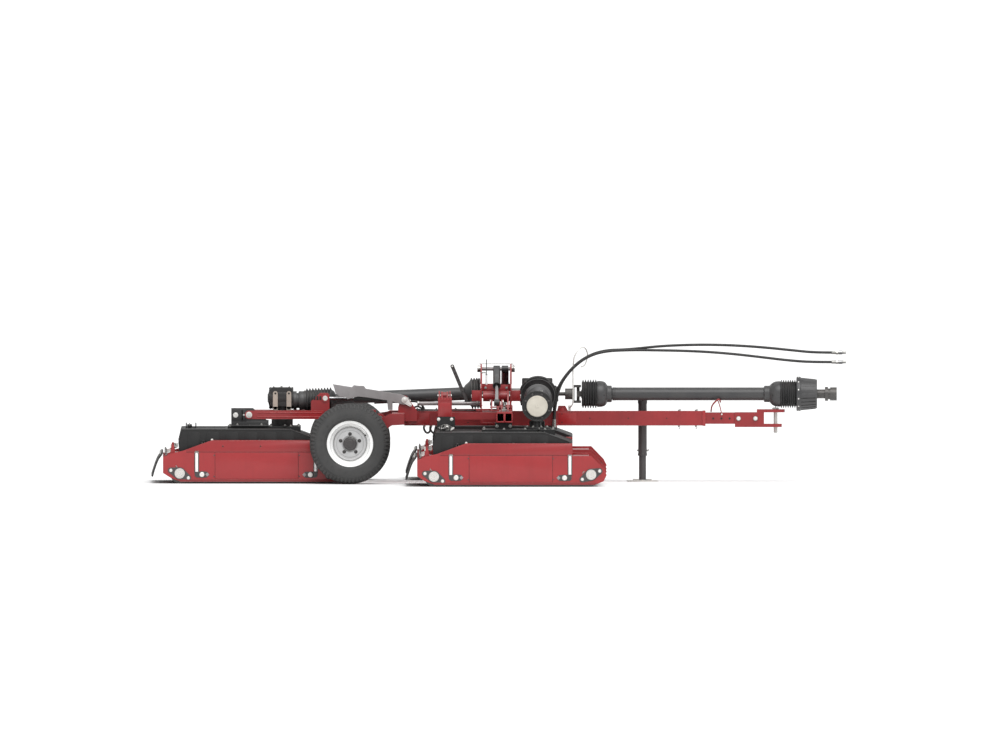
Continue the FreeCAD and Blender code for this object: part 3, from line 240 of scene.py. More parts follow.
surf("bar_steel", (0.33, 0.30, 0.30), (0.25, 0.23, 0.23), (0.28, 0.42), metal=0.3, vscale=18, bump=(500, 0.0002), edge_wear_and_highlight=(0.4, 0.4, 0.4),
     wear_amt=0.5, dust=0.03, edge=0.001)
surf("foot_plate", (0.60, 0.58, 0.555), (0.48, 0.47, 0.445), (0.34, 0.5), metal=0.1, vscale=26, bump=(600, 0.0002), edge_wear_and_highlight=(0.8, 0.79, 0.75),
     wear_amt=0.5, dust=0.05, edge=0.001)
surf("cap_plate", (0.70, 0.685, 0.65), (0.60, 0.59, 0.56), (0.34, 0.5), metal=0.0, vscale=26, bump=(600, 0.0002), edge_wear_and_highlight=(0.85, 0.84, 0.8),
     wear_amt=0.6, dust=0.05, edge=0.001)
surf("cream_cap", (0.70, 0.66, 0.57), (0.60, 0.56, 0.48), (0.4, 0.55), vscale=14, bump=(240, 0.0004), coarse=(30, 0.0006),
     edge_wear_and_highlight=(0.4, 0.37, 0.3), wear_amt=0.4, dust=0.05)
surf("strap_buff", (0.46, 0.40, 0.34), (0.38, 0.33, 0.28), (0.45, 0.6), metal=0.1, vscale=18, bump=(400, 0.0004), edge_wear_and_highlight=(0.6, 0.56, 0.5),
     wear_amt=0.5, dust=0.08)
surf("weld", (0.25, 0.02, 0.022), (0.20, 0.014, 0.016), (0.3, 0.5), coat=0.2, vscale=30, bump=(300, 0.0005), dust=0.1, round_edge=False)
# near-black stand-ins for holes, slots, gaps and nut recesses: painted shade
surf("painted_recess_shade", (0.012, 0.011, 0.011), (0.02, 0.019, 0.018), (0.6, 0.8), vscale=30, bump=(300, 0.0002), dust=0.0, round_edge=False)
surf("jack_grey", (0.045, 0.041, 0.041), (0.062, 0.056, 0.056), (0.34, 0.5), coat=0.1, vscale=8, bump=(220, 0.0003), coarse=(20, 0.0005),
     edge_wear_and_highlight=(0.25, 0.23, 0.22), wear_amt=0.5, dust=0.12)

# tyre rubber: dusty, slightly mottled
k = surf("tyre_rubber", (0.042, 0.042, 0.042), (0.058, 0.057, 0.056), (0.58, 0.78), spec=0.4, vscale=10, bump=(320, 0.0006), coarse=(70, 0.0006),
         edge_wear_and_highlight=(0.12, 0.118, 0.114), wear_amt=0.45, dust=0.0, edge=0.002)

# hose: wrapped cover with a fine diagonal cloth mark
k = Nt("hose_cover")
k.set(spec=0.4)
big = k.noise(14, 5)
col = k.mix(k.rng(big, 0.3, 0.7), (0.018, 0.018, 0.018), (0.034, 0.033, 0.033))
wv = k.n("ShaderNodeTexWave")
wv.inputs["Scale"].default_value = 220
wv.inputs["Distortion"].default_value = 1.5
k.l(k.scaled(1, 1, 1, (0.6, 0.5, 0.7)), wv.inputs["Vector"])
col = k.mix(k.math("MULTIPLY", wv.outputs["Fac"], 0.35), col, (0.045, 0.044, 0.043))
k.l(col, k.b.inputs["Base Color"])
k.l(k.rng(k.noise(60, 4), 0.3, 0.7, 0.42, 0.6), k.b.inputs["Roughness"])
bp = k.n("ShaderNodeBump")
bp.inputs["Strength"].default_value = 0.5
bp.inputs["Distance"].default_value = 0.0003
k.l(wv.outputs["Fac"], bp.inputs["Height"])
k.l(bp.outputs[0], k.b.inputs["Normal"])
MATS["hose_cover"] = k.m

# floor
k = Nt("studio_floor")
k.set(spec=0.2)
k.l(k.mix(k.noise(0.7, 3), (0.90, 0.90, 0.90), (0.93, 0.93, 0.93)), k.b.inputs["Base Color"])
k.l(k.rng(k.noise(3, 3), 0.3, 0.7, 0.85, 0.95), k.b.inputs["Roughness"])
MATS["studio_floor"] = k.m


# ------------------------------------------------------------------ mesh kit (millimetres in, metres out)
def basis(d):
    d = Vector(d).normalized()
    a = Vector((0, 0, 1)) if abs(d.z) < 0.9 else Vector((1, 0, 0))
    u = a.cross(d).normalized()
    return u, d.cross(u), d


def catmull(pts, step, closed=False):
    P = [Vector(p) for p in pts]
    out = []
    n = len(P)
    for i in range(n if closed else n - 1):
        p0 = P[(i - 1) % n] if closed or i > 0 else P[0] * 2 - P[1]
        p1, p2 = P[i], P[(i + 1) % n]
        p3 = P[(i + 2) % n] if closed or i + 2 < n else P[-1] * 2 - P[-2]
        m = max(2, int((p2 - p1).length / step))
        for j in range(m):
            t = j / m
            out.append(0.5 * ((2 * p1) + (-p0 + p2) * t + (2 * p0 - 5 * p1 + 4 * p2 - p3) * t * t + (-p0 + 3 * p1 - 3 * p2 + p3) * t ** 3))
    if not closed:
        out.append(P[-1])
    return out


def rounded(pts, r, seg=4):
    """Polygon (2-D) with its corners rounded; pts may hold (x, y, radius)."""
    out = []
    n = len(pts)
    for i in range(n):
        a, b, c = pts[i - 1], pts[i], pts[(i + 1) % n]
        rr = b[2] if len(b) > 2 else r
        A, B, C = Vector(a[:2]), Vector(b[:2]), Vector(c[:2])
        u, w = (A - B), (C - B)
        lu, lw = u.length, w.length
        u.normalize(); w.normalize()
        ang = math.acos(max(-1, min(1, u.dot(w))))
        if rr <= 0 or ang > 3.1 or ang < 0.02:
            out.append((B.x, B.y)); continue
        t = min(rr / math.tan(ang / 2), 0.48 * lu, 0.48 * lw)
        q = t * math.tan(ang / 2)
        m = (u + w).normalized()
        cen = B + m * math.hypot(q, t)
        s, e = B + u * t, B + w * t
        a0 = math.atan2(s.y - cen.y, s.x - cen.x)
        a1 = math.atan2(e.y - cen.y, e.x - cen.x)
        d = (a1 - a0 + math.pi) % (2 * math.pi) - math.pi
        for j in range(seg + 1):
            th = a0 + d * j / seg
            out.append((cen.x + q * math.cos(th), cen.y + q * math.sin(th)))
    return out


class Mk:
    def __init__(self):
        self.V, self.F, self.M, self.names, self.mi = [], [], [], [], 0

    def m(self, name):
        if name not in self.names:
            self.names.append(name)
        self.mi = self.names.index(name)
        return self

    def add(self, verts, faces):
        o = len(self.V)
        self.V += [tuple(v) for v in verts]
        self.F += [[o + i for i in f] for f in faces]
        self.M += [self.mi] * len(faces)

    def bm(self, b):
        b.verts.index_update()
        self.add([v.co.copy() for v in b.verts], [[v.index for v in f.verts] for f in b.faces])
        b.free()

    def box(self, x0, x1, y0, y1, z0, z1, bev=1.0, seg=2):
        b = bmesh.new()
        x0, x1 = min(x0, x1), max(x0, x1)
        y0, y1 = min(y0, y1), max(y0, y1)
        z0, z1 = min(z0, z1), max(z0, z1)
        bmesh.ops.create_cube(b, size=1)
        for v in b.verts:
            v.co = Vector((x0 + (v.co.x + .5) * (x1 - x0), y0 + (v.co.y + .5) * (y1 - y0), z0 + (v.co.z + .5) * (z1 - z0)))
        bev = min(bev, 0.45 * min(x1 - x0, y1 - y0, z1 - z0))
        if bev > 0:
            bmesh.ops.bevel(b, geom=b.edges[:], offset=bev, segments=seg, profile=0.5, affect="EDGES", clamp_overlap=True)
        self.bm(b)
        return self

    def obox(self, p, u, v, w, bev=1.0):
        """Box centred on p with half-extent vectors u, v, w."""
        b = bmesh.new()
        p, u, v, w = Vector(p), Vector(u), Vector(v), Vector(w)
        bmesh.ops.create_cube(b, size=2)
        for q in b.verts:
            q.co = p + u * q.co.x + v * q.co.y + w * q.co.z
        bev = min(bev, 0.45 * 2 * min(u.length, v.length, w.length))
        if bev > 0:
            bmesh.ops.bevel(b, geom=b.edges[:], offset=bev, segments=2, profile=0.5, affect="EDGES", clamp_overlap=True)
        self.bm(b)
        return self

    def lathe(self, prof, o, d, seg=32, closed=False, phase=0.0):
        u, v, w = basis(d)
        o = Vector(o)
        verts, rings = [], []
        for r, t in prof:
            if r <= 1e-6:
                rings.append([len(verts)])
                verts.append(o + w * t)
            else:
                rings.append(list(range(len(verts), len(verts) + seg)))
                for i in range(seg):
                    a = 2 * math.pi * i / seg + phase
                    verts.append(o + w * t + u * (r * math.cos(a)) + v * (r * math.sin(a)))
        faces = []
        n = len(rings)
        for i in range(n if closed else n - 1):
            A, B = rings[i], rings[(i + 1) % n]
            if len(A) == 1 and len(B) == 1:
                continue
            for j in range(seg):
                k2 = (j + 1) % seg
                if len(A) == 1:
                    faces.append([A[0], B[j], B[k2]])
                elif len(B) == 1:
                    faces.append([A[j], B[0], A[k2]])
                else:
                    faces.append([A[j], B[j], B[k2], A[k2]])
        self.add(verts, faces)
        return self

    def cyl(self, p0, p1, r, ch=0.8, seg=24, r1=None):
        p0, p1 = Vector(p0), Vector(p1)
        L = (p1 - p0).length
        r1 = r if r1 is None else r1
        c = min(ch, 0.4 * L, 0.4 * r, 0.4 * r1)
        return self.lathe([(0, 0), (r - c, 0), (r, c), (r1, L - c), (r1 - c, L), (0, L)], p0, p1 - p0, seg)

    def pipe(self, p0, p1, r, t, seg=28):
        p0, p1 = Vector(p0), Vector(p1)
        L = (p1 - p0).length
        return self.lathe([(r - t, 0), (r - .5, 0), (r, .5), (r, L - .5), (r - .5, L), (r - t, L)], p0, p1 - p0, seg, closed=True)

    def ring(self, o, d, r, w, t, seg=32):
        """Flat ring of mean radius r, radial width w, thickness t."""
        c = min(0.5, t * .3)
        return self.lathe([(r - w / 2, 0), (r + w / 2, 0), (r + w / 2, t - c), (r + w / 2 - c, t), (r - w / 2 + c, t), (r - w / 2, t - c)], o, d, seg, closed=True)

    def hexa(self, p, d, af, h, ch=1.2, phase=0.0):
        R = af / math.sqrt(3)
        c = min(ch, h * .4)
        return self.lathe([(0, 0), (R, 0), (R, h - c), (R - c * 1.2, h), (0, h)], p, d, 6, phase=phase)

    def bolt(self, p, d, af=16, h=7, wr=None, wt=2.0, stud=True, wmat=None, phase=0.3):
        p, d = Vector(p), Vector(d).normalized()
        wr = af * 0.78 if wr is None else wr
        me = self.mi
        if wmat:
            self.m(wmat)
        self.lathe([(0, 0), (wr, 0), (wr, wt * .7), (wr - wt * .3, wt), (0, wt)], p, d, 20)
        self.mi = me
        self.hexa(p + d * wt, d, af, h, phase=phase)
        if stud:
            self.cyl(p + d * (wt + h), p + d * (wt + h + 2.5), af * .27, .8, 12)
        return self

    def dome(self, p, d, r, h, seg=20):
        n = 4
        prof = [(r, 0)] + [(r * math.cos(math.pi / 2 * i / n), h * math.sin(math.pi / 2 * i / n)) for i in range(1, n)] + [(0, h)]
        return self.lathe([(0, 0)] + prof, p, d, seg)

    def plate(self, pts, plane, t0, t1, bev=1.0):
        """Polygon in XY, XZ or YZ from t0 to t1 along the third axis, with softened rims."""
        def P(a, b, c):
            return {"XY": (a, b, c), "XZ": (a, c, b), "YZ": (c, a, b)}[plane]
        b = bmesh.new()
        lo = [b.verts.new(P(x, y, min(t0, t1))) for x, y in pts]
        hi = [b.verts.new(P(x, y, max(t0, t1))) for x, y in pts]
        n = len(pts)
        f0 = b.faces.new(lo[::-1]); f1 = b.faces.new(hi)
        for i in range(n):
            b.faces.new([lo[i], lo[(i + 1) % n], hi[(i + 1) % n], hi[i]])
        bev = min(bev, .45 * abs(t1 - t0))
        if bev > 0:
            ed = [e for e in b.edges if (e in f0.edges[:]) or (e in f1.edges[:])]
            bmesh.ops.bevel(b, geom=ed, offset=bev, segments=2, profile=0.5, affect="EDGES", clamp_overlap=True)
        self.bm(b)
        return self

    def sweep(self, pts, r, seg=10, caps=True, closed=False, rad=None):
        P = [Vector(p) for p in pts]
        n = len(P)
        T = []
        for i in range(n):
            a = P[(i - 1) % n] if closed or i > 0 else P[0]
            c = P[(i + 1) % n] if closed or i < n - 1 else P[-1]
            T.append((c - a).normalized())
        u = basis(T[0])[0]
        verts, faces = [], []
        for i in range(n):
            u = (u - T[i] * u.dot(T[i])).normalized()
            v = T[i].cross(u)
            rr = r if rad is None else rad(i, n)
            for j in range(seg):
                a = 2 * math.pi * j / seg
                verts.append(P[i] + u * (rr * math.cos(a)) + v * (rr * math.sin(a)))
        for i in range(n if closed else n - 1):
            for j in range(seg):
                a, b2 = i * seg + j, i * seg + (j + 1) % seg
                c, d = ((i + 1) % n) * seg + (j + 1) % seg, ((i + 1) % n) * seg + j
                faces.append([a, b2, c, d])
        if caps and not closed:
            faces.append(list(range(seg))[::-1])
            faces.append([(n - 1) * seg + j for j in range(seg)])
        self.add(verts, faces)
        return self

    def rod(self, pts, r, seg=10, step=8, closed=False):
        return self.sweep(catmull(pts, step, closed), r, seg, closed=closed)

    def spring(self, p0, p1, R, r, turns, seg=7, per=14):
        p0, p1 = Vector(p0), Vector(p1)
        u, v, w = basis(p1 - p0)
        L = (p1 - p0).length
        n = int(turns * per)
        pts = [p0 + w * (L * i / n) + u * (R * math.cos(2 * math.pi * i / per)) + v * (R * math.sin(2 * math.pi * i / per)) for i in range(n + 1)]
        return self.sweep(pts, r, seg)

    def weld(self, p0, p1, r=3.2, pitch=5.0):
        me = self.mi
        self.m("weld")
        p0, p1 = Vector(p0), Vector(p1)
        L = (p1 - p0).length
        n = max(3, int(L / pitch * 3))
        pts = [p0.lerp(p1, i / n) for i in range(n + 1)]
        self.sweep(pts, r, 8, rad=lambda i, m: r * (0.86 + 0.16 * math.cos(2 * math.pi * i / 3.0) + (0.05 * math.sin(i * 1.7))))
        self.mi = me
        return self

    def done(self, name, body, slot, ang=32, subd=0):
        me = bpy.data.meshes.new(name)
        me.from_pydata([Vector(v) * MM for v in self.V], [], self.F)
        for n in self.names:
            me.materials.append(MATS[n])
        me.polygons.foreach_set("material_index", self.M)
        b = bmesh.new()
        b.from_mesh(me)
        bmesh.ops.recalc_face_normals(b, faces=b.faces[:])
        b.to_mesh(me)
        b.free()
        me.polygons.foreach_set("use_smooth", [True] * len(me.polygons))
        me.set_sharp_from_angle(angle=math.radians(ang))
        me.update()
        o = bpy.data.objects.new(name, me)
        SC.collection.objects.link(o)
        if subd:
            md = o.modifiers.new("smooth", "SUBSURF")
            md.levels = md.render_levels = subd
        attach(o, body)
        return o


X, Y, Z = Vector((1, 0, 0)), Vector((0, 1, 0)), Vector((0, 0, 1))

# ------------------------------------------------------------------ CAD nodes: finishes
BASE = {"red_paint": "red_frame", "black_paint": "black_enamel", "black_plastic": "guard_plastic", "rubber": "rubber_flap", "tyre": "tyre_rubber",
        "white_paint": "white_enamel", "black_steel": "blade_steel", "chrome": "chrome", "bare_steel": "raw_steel", "zinc": "zinc",
        "grey_paint": "grey_plate", "hose": "hose_cover"}


def dress(node, base, rules=()):
    """base finish, then (finish, test(centre in mm)) for faces of other pieces in the node."""
    o = NODES[node]
    me = o.data
    me.materials.clear()
    names = [base] + [r[0] for r in rules if r[0] != base]
    uniq = []
    for n in names:
        if n not in uniq:
            uniq.append(n)
    for n in uniq:
        me.materials.append(MATS[n])
    if rules:
        for p in me.polygons:
            c = p.center * 1000
            idx = 0
            for n, test in rules:
                if test(c):
                    idx = uniq.index(n)
            p.material_index = idx


for sp in frame["record"]["subparts"]:
    dress(sp["node"], BASE[sp["material_slot"]])

DECKS = {"right": (133.0, -1205.0, -1, "right_wing"), "left": (133.0, 1205.0, 1, "left_wing"), "rear": (-1722.0, 0.0, 1, "rear_section")}
for tag, (xc, yc, s, body) in DECKS.items():
    def shell_roof(c, xc=xc, yc=yc):
        return abs(c.y - yc) < 628 and 204 < c.z < 212

    def caps(c, xc=xc, yc=yc):
        return abs(c.y - yc) > 637.6 and (math.hypot(c.x - xc + 572, c.z - 74) < 38.5 or math.hypot(c.x - xc - 576, c.z - 88) < 38.5)

    def spind(c, xc=xc, yc=yc):
        return abs(c.y - yc) < 600 and 149 < c.z < 204.5 and abs(c.x - xc) < 460 and \
            min(math.hypot(c.x - xc - 115, c.y - yc - s * 300), math.hypot(c.x - xc + 115, c.y - yc + s * 300),
                math.hypot(c.x - xc - 115, c.y - yc + s * 300), math.hypot(c.x - xc + 115, c.y - yc - s * 300)) < 84
    dress(tag + "_deck_shell", "red_enamel", [("cap_plate", caps), ("cast_iron", spind)])
    dress(tag + "_belt_cover", "black_cover", [
        ("zinc", lambda c, xc=xc, yc=yc: c.z > 441 and 8 - 30 < c.x < -1000 or (417 < c.z < 443 and -397 < c.x < -303 and abs(c.y) > 1100 and abs(c.y) < 1226 and not (abs(c.x + 356) < 24 and abs(abs(c.y) - 1205) < 24 and c.z < 437))
         or (abs(c.x + 350) < 14.5 and abs(abs(c.y) - 1140) < 14.5 and c.z > 430)) if tag != "rear" else ("zinc", lambda c: False)])
    for e in ("rear", "front"):
        dress("%s_roller_%s" % (tag, e), "dark_steel")
        dress("%s_blade_%s" % (tag, e), "blade_steel", [("dark_steel", lambda c: c.z > 79)])
    dress(tag + "_lift_barrel", "black_enamel")
    dress(tag + "_lift_rod", "chrome", [("black_enamel", lambda c, t=tag: (abs(abs(c.y) - 640) < 26 and abs(c.z - 590) < 26) if t != "rear" else (math.hypot(c.x + 1232, c.z - 614) < 26))])

for tag, s in (("right", -1), ("left", 1)):
    dress(tag + "_wing_arm", "red_frame", [("zinc", lambda c, s=s: (abs(c.z - 590) < 23 and abs(abs(c.y) - 640) < 23 and c.z < 613 and (abs(c.x - (20 if s < 0 else 80)) > 42.3)))])
    dress(tag + "_gearbox", "cast_iron", [("cream_cap", lambda c: abs(c.y) > 1262.5 and math.hypot(c.x - 315, c.z - 577) < 78),
                                          ("raw_steel", lambda c: abs(c.y) < 1129)])
dress("lift_tower", "red_frame", [("bar_steel", lambda c: math.hypot(c.y, c.z - 825) < 14.2),
                                  ("zinc", lambda c: (math.hypot(c.y, c.z - 825) < 24.5 and (c.x < -98.2 or c.x > 128.2)) or
                                   (math.hypot(abs(c.y) - 240, c.z - 630) < 15.3))])
dress("splitter_gearbox", "cast_iron", [("raw_steel", lambda c: c.x < 238 and math.hypot(c.y, c.z - 648) < 46 and not abs(c.y) > 100),
                                        ("dark_steel", lambda c: abs(c.y) > 163), ("guard_plastic", lambda c: 111 < abs(c.y) < 179 and math.hypot(c.x - 321, c.z - 630) > 60)])
dress("main_beam", "red_frame", [("zinc", lambda c: c.z < 430.5 and c.z > 400.2 and (math.hypot(c.x - 437, c.y + 78) < 12.6 or math.hypot(c.x - 441, c.y + 101) < 12.6)),
                                 ("black_enamel", lambda c: 418 < c.x < 462 and c.y < -56 and c.z < 400.5),
                                 ("zinc", lambda c: math.hypot(abs(c.y) - 240, c.z - 630) < 15.3 and -413 < c.x < -307)])
dress("hitch_clevis", "red_frame", [("zinc", lambda c: abs(c.y) > 50.3),
                                    ("foot_plate", lambda c: math.hypot(c.x - 2055, c.y) < 26.3 and (c.z > 530.5 or math.hypot(c.x - 2055, c.y) < 14.4))])
dress("axle_frame", "red_frame", [("raw_steel", lambda c: abs(c.y) > 684.2), ("zinc", lambda c: math.hypot(c.x + 651, c.z - 602) < 15.4),
                                  ("raw_steel", lambda c: math.hypot(c.x + 832, c.z - 466) < 20.4)])
dress("rear_arm", "red_frame", [("black_enamel", lambda c: 193.5 < abs(c.y) < 251 and c.x < -1640),
                                ("red_enamel", lambda c: math.hypot(c.x + 1788, c.z - 493) < 30.5 and abs(c.y) > 204.1),
                                ("red_enamel", lambda c: math.hypot(c.x + 1232, c.z - 614) < 28.5 and (c.y < -196.1 or c.y > -124.1))])
dress("pto_guard_rear", "guard_plastic", [("bellows_rubber", lambda c: c.x < 761 and math.hypot(c.y, c.z - 642) > 89)])
dress("pto_guard_front", "guard_plastic", [("bellows_rubber", lambda c: 2097 < c.x < 2207 and math.hypot(c.y, c.z - 642) > 89)])
dress("pto_inner_shaft", "dark_steel")
dress("pto_outer_shaft", "dark_steel")
dress("rear_gearbox", "cast_iron", [("raw_steel", lambda c: c.x > -1463 and math.hypot(c.y, c.z - 594) < 19), ("guard_plastic", lambda c: c.x > -1463.5 and math.hypot(c.y, c.z - 594) > 30)])
dress("jack_tube", "jack_grey")
dress("jack_leg", "jack_grey", [("foot_plate", lambda c: c.z < 9.8)])
dress("hose_guide", "white_zinc")
dress("transport_latch", "grey_plate", [("zinc", lambda c: False)])
for n in ("rear_drive_front", "rear_drive_rear"):
    o = NODES[n]
dress("rear_drive_front", "guard_plastic", [("bellows_rubber", lambda c: c.x > -300)])
dress("rear_drive_rear", "guard_plastic", [("bellows_rubber", lambda c: c.x < -1150)])
for t in ("right", "left"):
    dress(t + "_cross_guard", "guard_plastic")

PARTS_BELOW = True

# ------------------------------------------------------------------ hoses
ROUTE_A = [(437, -78, 415), (437, -78, 500), (441, -79, 585), (456, -82, 662), (490, -88, 732), (537, -95, 796), (594, -100, 857), (663, -103, 908),
           (745, -106, 946), (840, -108, 965), (942, -110, 967), (1060, -111, 977), (1200, -112, 992), (1370, -112, 1001), (1560, -111, 1004),
           (1770, -109, 998), (1980, -106, 983), (2180, -102, 962), (2340, -100, 946), (2465, -100, 946)]
ROUTE_B = [(441, -101, 415), (441, -101, 500), (453, -104, 583), (468, -112, 658), (495, -126, 729), (540, -140, 793), (596, -149, 853), (664, -152, 904),
           (744, -150, 940), (839, -145, 958), (942, -141, 963), (1055, -138, 965), (1190, -135, 963), (1360, -132, 960), (1550, -129, 952),
           (1750, -127, 936), (1950, -126, 913), (2130, -125, 891), (2300, -125, 877), (2465, -125, 877)]


def hose(name, route, r):
    cu = bpy.data.curves.new(name, "CURVE")
    cu.dimensions = "3D"
    sp = cu.splines.new("NURBS")
    sp.points.add(len(route) - 1)
    for p, q in zip(sp.points, route):
        p.co = (q[0] * MM, q[1] * MM, q[2] * MM, 1)
    sp.order_u = 3
    sp.use_endpoint_u = True
    sp.resolution_u = 10
    cu.bevel_depth = r
    cu.bevel_resolution = 5
    cu.use_fill_caps = True
    cu.materials.append(MATS["hose_cover"])
    o = bpy.data.objects.new(name, cu)
    SC.collection.objects.link(o)
    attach(o, "frame")
    return o


for name, route, length, node in (("hose_upper_line", ROUTE_A, 2.390, "upper"), ("hose_lower_line", ROUTE_B, 2.385, "lower")):
    h = hose(name, route, 0.0095)
    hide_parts("hose_" + node)
    y, z = route[-1][1], route[-1][2]
    # crimped ferrule and swivel nut at the far end, and at the fixed end
    k = Mk().m("zinc")
    prof = [(9.7, 0), (12.2, 0)]
    for i in range(5):
        a = 2 + i * 6
        prof += [(12.7, a), (12.7, a + 3.4), (12.1, a + 4), (12.1, a + 5.4)]
    prof += [(12.5, 33), (12.5, 35), (9.7, 35)]
    k.lathe(prof, (2465, y, z), X, 28, closed=True)
    f1 = k.done("hose_%s_ferrule" % node, "frame", "zinc")
    k = Mk().m("zinc")
    x0, y0 = route[0][0], route[0][1]
    prof = [(9.7, 0), (12.4, 0)]
    for i in range(5):
        a = 2 + i * 8
        prof += [(12.6, a), (12.6, a + 4.5), (11.4, a + 5.5), (11.4, a + 7)]
    prof += [(12.2, 44), (9.7, 44)]
    k.lathe(prof, (x0, y0, 415), Z, 28, closed=True)
    f2 = k.done("hose_%s_end_sleeve" % node, "frame", "zinc")
    k = Mk().m("zinc")
    k.hexa((2497, y, z), X, 29, 15, 1.5)
    k.m("chrome").ring((2516, y, z), X, 12.4, 4, 26)
    k.ring((2546, y, z), X, 11.3, 3, 3)
    f3 = k.done("hose_%s_coupler_nut" % node, "frame", "zinc")
# ------------------------------------------------------------------ decks
def hull_plate(circles):
    """Outline round a set of (x, z, r) circles: their convex hull."""
    P = []
    for x, z, r in circles:
        for i in range(40):
            a = 2 * math.pi * i / 40
            P.append((x + r * math.cos(a), z + r * math.sin(a)))
    P = sorted(set(P))
    def half(Q):
        h = []
        for q in Q:
            while len(h) > 1 and (h[-1][0] - h[-2][0]) * (q[1] - h[-2][1]) - (h[-1][1] - h[-2][1]) * (q[0] - h[-2][0]) <= 1e-9:
                h.pop()
            h.append(q)
        return h
    return half(P)[:-1] + half(P[::-1])[:-1]


def slotpts(x0, z0, x1, z1, r):
    return hull_plate([(x0, z0, r), (x1, z1, r)])


for tag, (xc, yc, s, body) in DECKS.items():
    red, blk, zn, dk, gr, wr = Mk().m("red_enamel"), Mk().m("black_enamel"), Mk().m("zinc"), Mk().m("dark_steel"), Mk().m("grey_plate"), Mk().m("weld")
    for sg in (-1, 1):
        D = Vector((0, sg, 0))

        def P(x, y, z):
            return Vector((xc + x, yc + sg * y, z))

        def prism(k, pts, y0, y1, bev=.6):
            k.plate([(xc + a, b) for a, b in pts], "XZ", yc + sg * y0, yc + sg * y1, bev)
        # pressed side panel and the upper band above it, the band in a darker red that is painted shade
        prism(red, rounded([(-312, 34), (292, 34), (292, 226), (-312, 226)], 6), 636.2, 638.4)
        red.m("red_band_painted_shade")
        prism(red, rounded([(-523, 231), (-523, 246), (-339, 311), (436, 311), (436, 231)], 4), 636.2, 638.2)
        # dark red lines along the fold and the panel edges: painted crease shade
        red.m("red_crease_shade")
        for q in ([(-526, 227.6), (440, 227.6), (440, 230.2), (-526, 230.2)], [(-316, 32), (-313.2, 32), (-313.2, 228), (-316, 228)], [(293.2, 32), (296, 32), (296, 228), (293.2, 228)]):
            prism(red, q, 636.6, 637.7, .2)
        red.m("red_enamel")
        # folded lower lip in a darker red that is painted shade, and its dark wear strip, whose dark line also stands
        # for the contact shadow under the lip
        prism(red.m("red_lip_painted_shade"), [(-560, 12.4), (600, 12.4), (622, 23), (612, 31), (-596, 31), (-582, 21)], 636, 641.4, 1.2)
        red.m("red_enamel")
        prism(dk, [(-552, 9), (590, 9), (604, 13.5), (-566, 13.5)], 625, 642, .8)
        # top flange with its bolts
        prism(red, [(-341, 312), (440, 312), (440, 316.5), (-345, 316.5)], 598, 637.6, .8)
        zn.m("white_zinc").bolt(P(-336, 619, 316.5), Z, 15, 7, 12, 1.6)
        zn.m("zinc")
        for bx in (10, 240, 420):
            dk.m("jack_grey").dome(P(bx, 622, 316.5), Z, 8, 3.2, 16)
        for fx, fw in ((-200, 22), (100, 60)):
            red.box(xc + fx - fw, xc + fx + fw, yc + sg * 600, yc + sg * 612, 204, 316, 1)
        # roller bracket plates, screws, end caps with rings
        for a, b, c in (((-637, 96), (-509, 41), (-572, 74)), ((638.5, 114.6), (512, 54), (576, 88))):
            prism(dk.m("jack_grey"), hull_plate([(a[0], a[1], 21), (c[0], c[1], 44), (b[0], b[1], 21)]), 637, 640.6, .9)
            for q in (a, b):
                zn.lathe([(0, 0), (13.5, 0), (13.5, 1.0), (12.2, 1.6), (0, 1.6)], P(q[0], 640.6, q[1]), D, 24)
                zn.m("white_zinc").lathe([(0, 0), (10.4, 0), (10.4, 1.4), (8.4, 2.4), (3.6, 2.6), (3.2, 1.6), (0, 1.5)], P(q[0], 642.0, q[1]), D, 24)
                zn.m("zinc")
            zn.m("cap_plate").lathe([(0, 0), (36.5, 0), (36.5, 1.6), (35, 2.7), (31.5, 2.7), (30.4, 1.7), (23, 1.7), (22, 2.6), (17.5, 2.6), (16.6, 1.4), (9, 1.4),
                                     (8, 3.0), (3.5, 3.0), (3, 1.6), (0, 1.6)], P(c[0], 642.7, c[1]), D, 40)
            # dark grey rings at the cap's steps: painted groove shade
            for rr in (30.9, 21.5, 8.4):
                zn.m("jack_grey").ring(P(c[0], 645.1, c[1]), D, rr, .9, .5, 40)
            zn.m("zinc")
        for tx, tz, an in ((-594, 123, -.9), (519, 105, .9)):
            zn.obox(P(tx, 638.6, tz), Vector((11 * math.cos(an), 0, 11 * math.sin(an))), Vector((0, 1.5, 0)), Vector((-2.6 * math.sin(an), 0, 2.6 * math.cos(an))), .8)
        # height rods in their channels
        for rx, z0, z1, hz in ((-448, 86, 224, 240), (421, 88, 224, 236)):
            jg = dk.m("jack_grey")
            prism(jg, [(rx - 17, z0 - 8), (rx + 17, z0 - 8), (rx + 17, z1 - 6), (rx - 17, z1 - 6)], 637, 638.4, .4)
            zn.m("white_enamel").cyl(P(rx, 639.2, z0), P(rx, 639.2, z1), 5.6, 1.2, 24)
            zn.obox(P(rx, 638.9, (z0 + z1) / 2), Vector((10.2, 0, 0)), Vector((0, 2.6, 0)), Vector((0, 0, (z1 - z0) / 2)), 2.2)
            zn.m("zinc").obox(P(rx, 639.3, z1 + 2), Vector((15.5, 0, 0)), Vector((0, 3.4, 0)), Vector((0, 0, 5.0)), 1.6)
            zn.hexa(P(rx, 639.6, z1 + 6), Z, 9, hz - z1 - 8)
            zn.cyl(P(rx - 9, 640.4, z1 + 5), P(rx - 9, 640.4, hz), 2.6, .8, 12)
            zn.cyl(P(rx + 9, 640.4, z1 + 5), P(rx + 9, 640.4, hz), 2.6, .8, 12)
